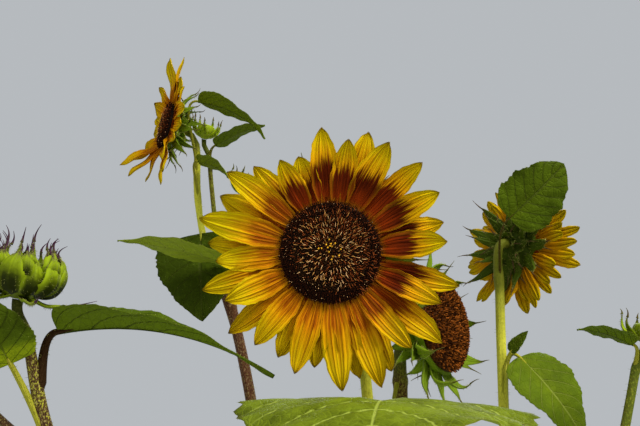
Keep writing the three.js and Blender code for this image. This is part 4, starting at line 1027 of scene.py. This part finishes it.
def blade_grid(head, blade, grid, shape, thickness, ragged, curl):
    """Both sides of a petal or bract, its shares along and across, and its own measure in millimetres."""
    s, u = np.meshgrid(np.linspace(0, 1, grid[0]) ** 0.9, np.linspace(-1, 1, grid[1]), indexing="ij")
    middle, across, over, along = (way[:, None] for way in head.blade_frame(blade, s[:, 0]))
    seed, length, outward = blade["seed"], blade["length"], abs(u)
    phase = seed * 2.3
    edge = 1 + ragged * (0.6 * np.sin(s * 21 + seed * 1.9 + u * 2) + 0.4 * np.sin(s * 47 + seed * 3.1)) * outward**3
    half = blade["width"] / 2 * np.interp(s, *shape) * edge
    furrow = -0.75 * np.cos(u * math.pi * 2.8) * np.minimum(1, half / 4)
    furrow = furrow - 0.12 * np.cos(u * math.pi * 6.3 + phase) * (1 - s)
    roll = curl * half * outward**3 * np.sin(s * 6 + phase + np.where(u > 0, 1.2, 0)) * smooth(0.1, 0.5, s)
    sag = 0.02 * length * np.sin(s * 7 + phase) * smooth(0.15, 0.5, s) * smooth(1.0, 0.8, s)
    lift = half * blade["cup"] * u * u + furrow + roll + sag
    notch = 0.03 * length * np.maximum(0, np.cos(u * math.pi * 1.5 + phase)) * smooth(0.9, 1.0, s) * 0.7
    points = middle + across * (half * u)[..., None] + over * lift[..., None] - along * notch[..., None]
    lap = over * (thickness / 2 * mix(1, 0.5, s) * mix(1, 0.45, outward))[..., None]
    return points + lap, points - lap, s, u, together(half * u, s * length, seed * 13.0)


def add_collar(growth, head):
    """The flat ring that carries the petals."""
    angle, inner = turns(COLLAR_SIDES), head.disc * 0.8
    ring = spun(head.right, head.up, angle)
    edge = head.disc + 2.5 + 1.2 * np.sin(angle * 31) + 0.6 * np.sin(angle * 47 + 1)
    rims = ((inner, -0.8), (edge, -1.2), (edge, -2.4), (inner, -2.6), (inner, -0.8))
    points = [head.at + ring * np.broadcast_to(r, COLLAR_SIDES)[:, None] + head.face * z for r, z in rims]
    place = together(arr((0.02, 0.16, 0.16, 0.02, 0.02))[:, None], np.sin(angle * 40), 0.5)
    growth.add(points, [grid_faces(len(rims), COLLAR_SIDES, wrap=True, flip=True)], place, None, (0.8, 1, 0.45))


def petal_tone(name, blade):
    """How red a petal's foot is, how long the foot is, and how light the petal is; on the main bloom that lightness is
    painted light and shade by the petal's place on the clock.
    """
    seed = blade["seed"]
    if name in PETAL_TONES:
        red, foot, light = PETAL_TONES[name]
        return red + 0.3 * chance(seed, 32), foot + 0.16 * chance(seed, 33), light

    def near(clock, low, high):
        return float(smooth(low, high, math.cos(math.radians(blade["clock"] - clock))))

    up = near(REDDEST, -0.8, 0.75)
    red = mix(0.45, 1, up) * mix(0.88, 1, chance(seed, 32))
    foot = mix(0.42, 0.57, up) + 0.09 * (chance(seed, 31) - 0.5)
    # Main bloom petals are painted lighter near the lit clock place and darker away from it, as painted light and
    # shade.
    return red, foot, mix(-0.9, 0.3, near(SUNLIT_CLOCK, -0.9, 0.2))


def grow_rays(name, settings):
    head, pieces = Head(name), RAYS[name]["pieces"]
    blades = head.petals()
    shape = BLUNT_PETAL if name == "right_bloom" else PETAL
    curl = 0.14 if name == "main_bloom" else 0.18
    cuts = [round(len(blades) * g / pieces) for g in range(pieces + 1)]
    for g in range(pieces):
        growth = Growth()
        if g == 0:
            add_collar(growth, head)
        for blade in blades[cuts[g] : cuts[g + 1]]:
            top, bottom, s, u, spot = blade_grid(head, blade, PETAL_GRID, shape, PETAL_THICK, 0.05, curl)
            red, foot, light = petal_tone(name, blade)
            add_sheet(growth, top, bottom, together(s, u, chance(blade["seed"], 34) + light), spot, (red, foot))
        material = skin("petal_skin", petal_skin, settings)
        growth.piece("%s_petals_%d" % (name, g + 1), material, [name + "_rays"])


def grow_disc(name, settings):
    """The floor of a disc, and the florets or husks on it."""
    head = Head(name)
    disc, spent, nodes = head.disc, name == "seed_head", [name + "_disc"]
    slot = "seed_disc" if spent else "dark_disc"
    x = np.concatenate([np.linspace(0.02, 0.9, 14), [0.95, 0.99, 1.0, 0.97]])
    z = head.dome_height(x)
    z[-2:] = head.dome * 0.12, -0.4
    ring = spun(head.right, head.up, turns(DISC_SIDES))
    floor = head.at + ring * (x * disc * FLOOR_SHARE)[:, None, None] + head.face * (z - 0.8)[:, None, None]
    growth = Growth()
    growth.add(floor, [grid_faces(len(x), DISC_SIDES, wrap=True, flip=True), np.arange(DISC_SIDES)[None]])
    material = skin(slot + "_floor", granular, *(SEED_FLOOR if spent else DISC_FLOOR))
    growth.piece(name + "_floor", material, nodes)

    # Florets on a sunflower spiral, their colours dealt out by chance.
    count = FLORETS.get(name, FEW_FLORETS)
    rng = np.random.default_rng(len(name))
    n = np.arange(count) + 0.5
    turn = np.radians(GOLDEN_TURN) * n
    wander = rng.normal(0, 0.012 if spent else 0.005, (count, 2))
    px, py = np.sqrt(n / count) * np.cos(turn) + wander[:, 0], np.sqrt(n / count) * np.sin(turn) + wander[:, 1]
    rho = np.hypot(px, py)
    px, py = px * np.minimum(1, 0.99 / rho), py * np.minimum(1, 0.99 / rho)
    rho = np.minimum(rho, 0.99)
    radial = head.right * px[:, None] + head.up * py[:, None]
    slope = head.dome * 0.7 * 3.2 * rho**2.2 / disc
    feet = head.at + radial * disc * FLOOR_SHARE + head.face * (head.dome_height(rho) - 0.9)[:, None]
    tilt = rng.normal(0, 0.3 if spent else 0.1, (count, 3))
    aims = unit(head.face + unit(radial) * (slope + 0.3 * rho**4)[:, None] + tilt)
    size = disc * math.sqrt(math.pi / count) * 0.5
    tall = rng.uniform(0.7, 1.25, count) * (2.8 if spent else 2.3) * mix(1, 0.65 if spent else 1, smooth(0.85, 1, rho))
    deal, fleck = rng.random(count), rng.random(count)

    def sow(label, pick, tone, levels, sides, lean=None):
        growth = Growth()
        picked = [(h[pick] if np.ndim(h) else h, r) for h, r in levels]
        pegs(growth, feet[pick], aims[pick], picked, sides, (n * 2.4)[pick], None if lean is None else lean[pick])
        material = skin("%s_%s" % (slot, label), plain, tone, 0.8, 0.03)
        growth.piece("%s_%s" % (name, label), material, nodes, False)

    fat = size * (0.62 if spent else 0.85)
    grain = [(0, fat), (tall * 0.6, fat), (tall * 0.9, fat * 0.5), (tall, 0)]
    if spent:
        low = 0
        for label, high, light in HUSKS:
            sow(label, (deal >= low) & (deal < high), shade(settings.seed_rust, light), grain, 5)
            low = high
        return
    # Painted light: towards the upper right more florets are rust-red and lighter, more tan and rust styles and amber
    # sparks stand there, and fewer pale sparks.
    warm = (px + py) / 2
    rusty_and_lit, inside = fleck < 0.34 + 0.5 * warm, rho < 0.78
    sow("florets_inner", inside & ~rusty_and_lit, settings.disc_brown, grain, 5)
    sow("florets_warm", inside & rusty_and_lit, shade(settings.style_rust, 0.3), grain, 5)
    bell = [(0, size * 0.5), (tall * 0.55, size * 0.42), (tall * 1.1, size * 0.9), (tall * 0.8, 0)]
    sow("florets_outer", ~inside, settings.disc_rust, bell, 5)

    # Styles lie outwards over the open florets like bent threads, and sparks and pollen stand between them.
    long = rng.uniform(1.8, 4.3, count) * mix(0.62, 1, disc / 40) * mix(0.5, 1, smooth(0.05, 0.35, rho))
    feet = feet + aims * (tall * 0.7)[:, None]
    lean = unit(unit(radial) + rng.normal(0, 0.32, (count, 3)))
    inner = rho + rng.normal(0, 0.06, count)
    rust, pale = settings.style_rust, settings.style_pale
    older_and_lit = (deal >= 0.17) & (deal < 0.3 + 0.2 * warm) & (inner < 0.94) & (inner > 0.3)
    for label, pick, tone in (
        ("styles_tan", (deal < 0.16) & (inner < 0.66 + 0.1 * warm), settings.floret_gold),
        ("styles_rust", older_and_lit, rust),
        ("styles_pale", (deal >= 0.4) & (deal < 0.47) & (inner < 0.62), pale),
    ):
        thread = [(0, size * 0.2), (long * 0.4, size * 0.17), (long * 0.75, size * 0.2), (long, 0)]
        sow(label, pick, tone, thread, 4, lean)
    for label, pick, tone, fat in (
        ("sparks", (deal >= 0.47) & (deal < 0.66 + 0.25 * warm) & (rho >= 0.3), rust, 0.42),
        ("sparks_pale", (deal >= 0.92 + 0.06 * warm) & (rho >= 0.3), pale, 0.42),
        ("pollen", (deal >= 0.66) & (deal < 0.82) & (inner < 0.2), settings.pollen, 1.0),
    ):
        sow(label, pick, tone, [(0, size * fat * 0.8), (long * 0.2, size * fat), (long * 0.34, 0)], 4)


def cup_wall(head):
    """Radii and heights of a cup's outside, smoothed and closed at the rim."""
    disc, profile = head.disc, arr(head.cup_profile())
    share, knots = np.linspace(0, 1, 20), np.linspace(0, 1, len(profile))
    wall = arr([np.interp(share, knots, column) for column in profile.T])
    for _ in range(2):
        wall[:, 1:-1] = (wall[:, :-2] + 2 * wall[:, 1:-1] + wall[:, 2:]) / 4
    if head.bud:
        return np.append(wall, [[disc * 0.15], [head.dome + 0.4]], 1)
    low = 0 if head.name == "seed_head" else 1.0
    wall = np.minimum(wall, [[disc * (1 - low * 0.02)], [-0.9 - low]])
    return np.append(wall, [[disc * 0.97, disc * 0.9], [-0.9 - low, -0.6 - low]], 1)


def add_thread(growth, head, blade, look, tint):
    """The dark thread at the end of a bract, which bends outwards."""
    seed, (long, away, dark) = blade["seed"], look
    end, _, _, along = head.blade_frame(blade, arr([0.96]))
    t = np.linspace(0, 1, 8)[:, None]
    outward = unit(end - head.at - head.face * dot(end - head.at, head.face))
    swing = outward * away + head.face * away * 0.5 + head.right * 0.5 * (chance(seed, 61) - 0.5)
    reach = long * mix(0.6, 1.25, chance(seed, 62))
    path = end + along * reach * t * (1 - 0.3 * t) + swing * reach * t * t
    radii = mix(1.3 if head.bud else 0.85, 0.16, t[:, 0] ** 0.6)
    tube(growth, path, unit(np.gradient(path, axis=0)), radii, 5, (dark, 1, 1), tint, shares=(0.9, 1.3))


def grow_cup(name, settings):
    """The cup behind a head, or a whole bud, with its bracts and their bristles."""
    head = Head(name)
    nodes, slot = ([name], "bud") if head.bud else ([name + "_calyx"], "calyx")
    _, *look, light = BRACT_LOOK[name]
    r, z = cup_wall(head)
    angle, count = turns(CUP_SIDES), len(r)
    ribs = 1 + 0.03 * np.cos(angle * 13)[None] * smooth(-head.deep, -head.deep * 0.3, z)[:, None]
    wall = head.at + spun(head.right, head.up, angle) * (r[:, None] * ribs)[..., None] + head.face * z[:, None, None]
    caps = np.arange(CUP_SIDES)[None], (count - 1) * CUP_SIDES + np.arange(CUP_SIDES)[None, ::-1]
    growth = Growth()
    growth.add(wall, [grid_faces(count, CUP_SIDES, wrap=True, flip=True), *caps], (0.3, 0.5, 0.5), None, (0, 1, 0))
    feet, aims = [], []
    lobed = name == "left_bud"
    rows, cols = BRACT_GRID
    for blade in head.bracts():
        puffed, crown = lobed and blade["row"] in PUFFED_ROWS, lobed and blade["row"] == CROWN_ROW
        blade["cup"] = 0.42 if puffed else 0.2
        tint = chance(blade["seed"], 51)
        shape = PUFFED_BRACT if puffed else BRACT
        top, bottom, s, u, spot = blade_grid(head, blade, BRACT_GRID, shape, BRACT_THICK, 0.03, 0.15)
        add_thread(growth, head, blade, look, tint)
        place = together(s * 0.55 + 0.45 if crown else s, u, tint)
        add_sheet(growth, top, bottom, place, spot, (look[2], 1))
        rng = np.random.default_rng(blade["seed"])
        amount = int(settings.bristles * (FEW_BRACT_BRISTLES if name == "right_bloom" else BRACT_BRISTLES))
        i = rng.integers(1, rows - 1, amount)
        j = np.where(rng.random(amount) < 0.5, 0, cols - 1)
        feet.append(top[i, j])
        outward, upward = unit(top[i, j] - top[i, cols // 2]), unit(top[i, j] - bottom[i, j])
        aims.append(outward + upward * rng.uniform(-0.5, 0.5, amount)[:, None] + rng.normal(0, 0.2, (amount, 3)))
        i, j = rng.integers(1, rows - 1, amount), rng.integers(1, cols - 1, amount)
        feet.append(bottom[i, j])
        aims.append(unit(bottom[i, j] - top[i, j]) + rng.normal(0, 0.3, (amount, 3)))
    base = shade(settings.bud_green if head.bud else settings.bract_green, light)
    shared = slot if name in SMALL_BUDS else name
    material = skin(shared + "_bract_skin", bract_skin, base, PURPLE_END if lobed else BROWN_END, lobed)
    growth.piece(name + "_bracts", material, nodes)
    feet, aims = np.vstack(feet), np.vstack(aims)
    long = settings.bristle_length / MM * np.random.default_rng(len(name)).uniform(0.4, 1.0, len(feet))
    grow_bristles(name, nodes, feet, aims, long)


LEAVES = all_leaves()


# Settings, operators and panel.
def colour(name, description, default):
    return bpy.props.FloatVectorProperty(
        name=name, description=description, subtype="COLOR", size=3, min=0, max=1, default=default)


class SunflowerSettings(bpy.types.PropertyGroup):
    leaf_green: colour("Leaf", "Upper side of a leaf in shade", (0.05, 0.078, 0.003))
    leaf_yellow: colour("Leaf heart", "Yellow-green along the midrib of a light leaf", (0.2, 0.25, 0.004))
    pale_green: colour("Pale leaf", "Upper side of a leaf in the light", (0.125, 0.165, 0.009))
    vein_green: colour("Veins", "Main veins of a leaf", (0.25, 0.3, 0.045))
    stem_green: colour("Stem", "Green of the stems", (0.1, 0.13, 0.008))
    stem_yellow: colour("Stem in light", "Yellow-green of the stems and leaf stalks", (0.63, 0.61, 0.05))
    stem_brown: colour("Stem flush", "Purple-brown of the stems", (0.085, 0.028, 0.012))
    bract_green: colour("Bracts", "Green behind a bloom", (0.055, 0.085, 0.003))
    bud_green: colour("Bud", "Yellow-green of the buds", (0.17, 0.23, 0.004))
    petal_yellow: colour("Petal", "Yellow of a petal's outer part", (0.76, 0.62, 0.002))
    petal_gold: colour("Petal, deeper", "Deeper yellow of a petal", (0.62, 0.38, 0.002))
    petal_orange: colour("Petal, orange", "Edge of a petal's stained foot", (0.76, 0.27, 0.002))
    petal_rust: colour("Petal, rust", "Lighter red-brown of a petal's foot", (0.23, 0.027, 0.002))
    petal_maroon: colour("Petal, maroon", "Darker red-brown of a petal's foot", (0.06, 0.007, 0.001))
    petal_heel: colour("Petal, heel", "Olive orange where a petal meets the disc", (0.4, 0.18, 0.006))
    disc_brown: colour("Disc", "Florets of an open disc", (0.03, 0.012, 0.004))
    disc_rust: colour("Disc rim", "Outer florets of an open disc", (0.03, 0.008, 0.003))
    floret_gold: colour("Styles", "Bent styles of the florets", (0.68, 0.33, 0.085))
    style_pale: colour("Pale styles", "Youngest styles of the florets", (1.0, 0.6, 0.26))
    style_rust: colour("Rusty styles", "Older styles and the florets at the rim", (0.34, 0.08, 0.018))
    pollen: colour("Pollen", "Pollen at the middle of an open disc", (1.0, 0.5, 0.03))
    seed_rust: colour("Seed head", "Rust-brown of the spent head", (0.14, 0.04, 0.005))
    bristles: bpy.props.FloatProperty(
        name="Bristles", description="How thickly the bristles stand, as a share of the usual number",
        default=1.0, min=0, max=2, subtype="FACTOR")
    bristle_length: bpy.props.FloatProperty(
        name="Bristle length", description="Usual length of a bristle", default=0.0026, min=0, max=0.01, unit="LENGTH")


class SUNFLOWER_OT_stems(bpy.types.Operator):
    """Grow the main stem and the boughs, with their bristles"""

    bl_idname = "sunflower.stems"
    bl_label = "Stems and boughs"

    def execute(self, context):
        settings = context.scene.sunflower
        for order, name in enumerate(LIMBS):
            grow_limb(name, settings, np.random.default_rng(order + 5))
        return {"FINISHED"}


class SUNFLOWER_OT_leaves(bpy.types.Operator):
    """Grow the leaves on their stalks"""

    bl_idname = "sunflower.leaves"
    bl_label = "Leaves"

    def execute(self, context):
        for name, leaf in LEAVES.items():
            grow_leaf(name, leaf, context.scene.sunflower)
        return {"FINISHED"}


class SUNFLOWER_OT_petals(bpy.types.Operator):
    """Grow the petals of the open blooms"""

    bl_idname = "sunflower.petals"
    bl_label = "Petals"

    def execute(self, context):
        for name in RAYS:
            grow_rays(name, context.scene.sunflower)
        return {"FINISHED"}


class SUNFLOWER_OT_discs(bpy.types.Operator):
    """Fill the discs with florets"""

    bl_idname = "sunflower.discs"
    bl_label = "Discs and florets"

    def execute(self, context):
        for name in (*RAYS, "seed_head"):
            grow_disc(name, context.scene.sunflower)
        return {"FINISHED"}


class SUNFLOWER_OT_cups(bpy.types.Operator):
    """Grow the cups of bracts behind the heads, and the closed buds"""

    bl_idname = "sunflower.cups"
    bl_label = "Cups and buds"

    def execute(self, context):
        for name in HEADS:
            grow_cup(name, context.scene.sunflower)
        return {"FINISHED"}


class SUNFLOWER_OT_stage(bpy.types.Operator):
    """Lay the pale floor and set the lights and the camera"""

    bl_idname = "sunflower.stage"
    bl_label = "Floor, lights and camera"

    def execute(self, context):
        scene = context.scene
        scene.view_settings.view_transform = "Standard"
        mesh = bpy.data.meshes.new("floor")
        rim = [(FLOOR_RADIUS * math.cos(a), FLOOR_RADIUS * math.sin(a), 0) for a in turns(72)]
        mesh.from_pydata(rim, [], [tuple(range(len(rim)))])
        mesh.materials.append(plain("floor_paint", FLOOR_PAINT, 0.9, 0.06))
        floor = bpy.data.objects.new("floor", mesh)
        scene.collection.objects.link(floor)

        world = bpy.data.worlds.new("studio")
        world.use_nodes = True
        light_around = world.node_tree.nodes["Background"].inputs
        light_around[0].default_value, light_around[1].default_value = STUDIO_LIGHT, STUDIO_STRENGTH
        scene.world = world
        for name, (place, aim, size, power, tone) in LAMPS.items():
            light = bpy.data.lights.new(name, "AREA")
            light.size, light.energy, light.color = size, power, tone
            lamp = bpy.data.objects.new(name, light)
            lamp.location = place
            lamp.rotation_euler = (Vector(aim) - Vector(place)).to_track_quat("-Z", "Y").to_euler()
            scene.collection.objects.link(lamp)

        eye = bpy.data.cameras.new("camera")
        eye.lens, eye.sensor_width = LENS, SENSOR
        camera = bpy.data.objects.new("camera", eye)
        camera.location = CAMERA_AT
        camera.rotation_euler = (math.radians(CAMERA_TILT), 0, 0)
        scene.collection.objects.link(camera)
        scene.camera = camera
        return {"FINISHED"}


GROW_STEPS = (
    SUNFLOWER_OT_stems, SUNFLOWER_OT_leaves, SUNFLOWER_OT_petals, SUNFLOWER_OT_discs, SUNFLOWER_OT_cups,
    SUNFLOWER_OT_stage)


class SUNFLOWER_PT_panel(bpy.types.Panel):
    bl_label = "Sunflower plant"
    bl_idname = "SUNFLOWER_PT_panel"
    bl_space_type = "VIEW_3D"
    bl_region_type = "UI"
    bl_category = "Sunflower"

    def draw(self, context):
        for step in GROW_STEPS:
            self.layout.operator(step.bl_idname)
        for label in SunflowerSettings.__annotations__:
            self.layout.prop(context.scene.sunflower, label)


CLASSES = (SunflowerSettings, *GROW_STEPS, SUNFLOWER_PT_panel)


def register():
    for cls in CLASSES:
        bpy.utils.register_class(cls)
    bpy.types.Scene.sunflower = bpy.props.PointerProperty(type=SunflowerSettings)


def unregister():
    del bpy.types.Scene.sunflower
    for cls in reversed(CLASSES):
        bpy.utils.unregister_class(cls)


def main():
    register()
    bpy.ops.sunflower.stems()
    bpy.ops.sunflower.leaves()
    bpy.ops.sunflower.petals()
    bpy.ops.sunflower.discs()
    bpy.ops.sunflower.cups()
    bpy.ops.sunflower.stage()


if __name__ == "__main__":
    main()
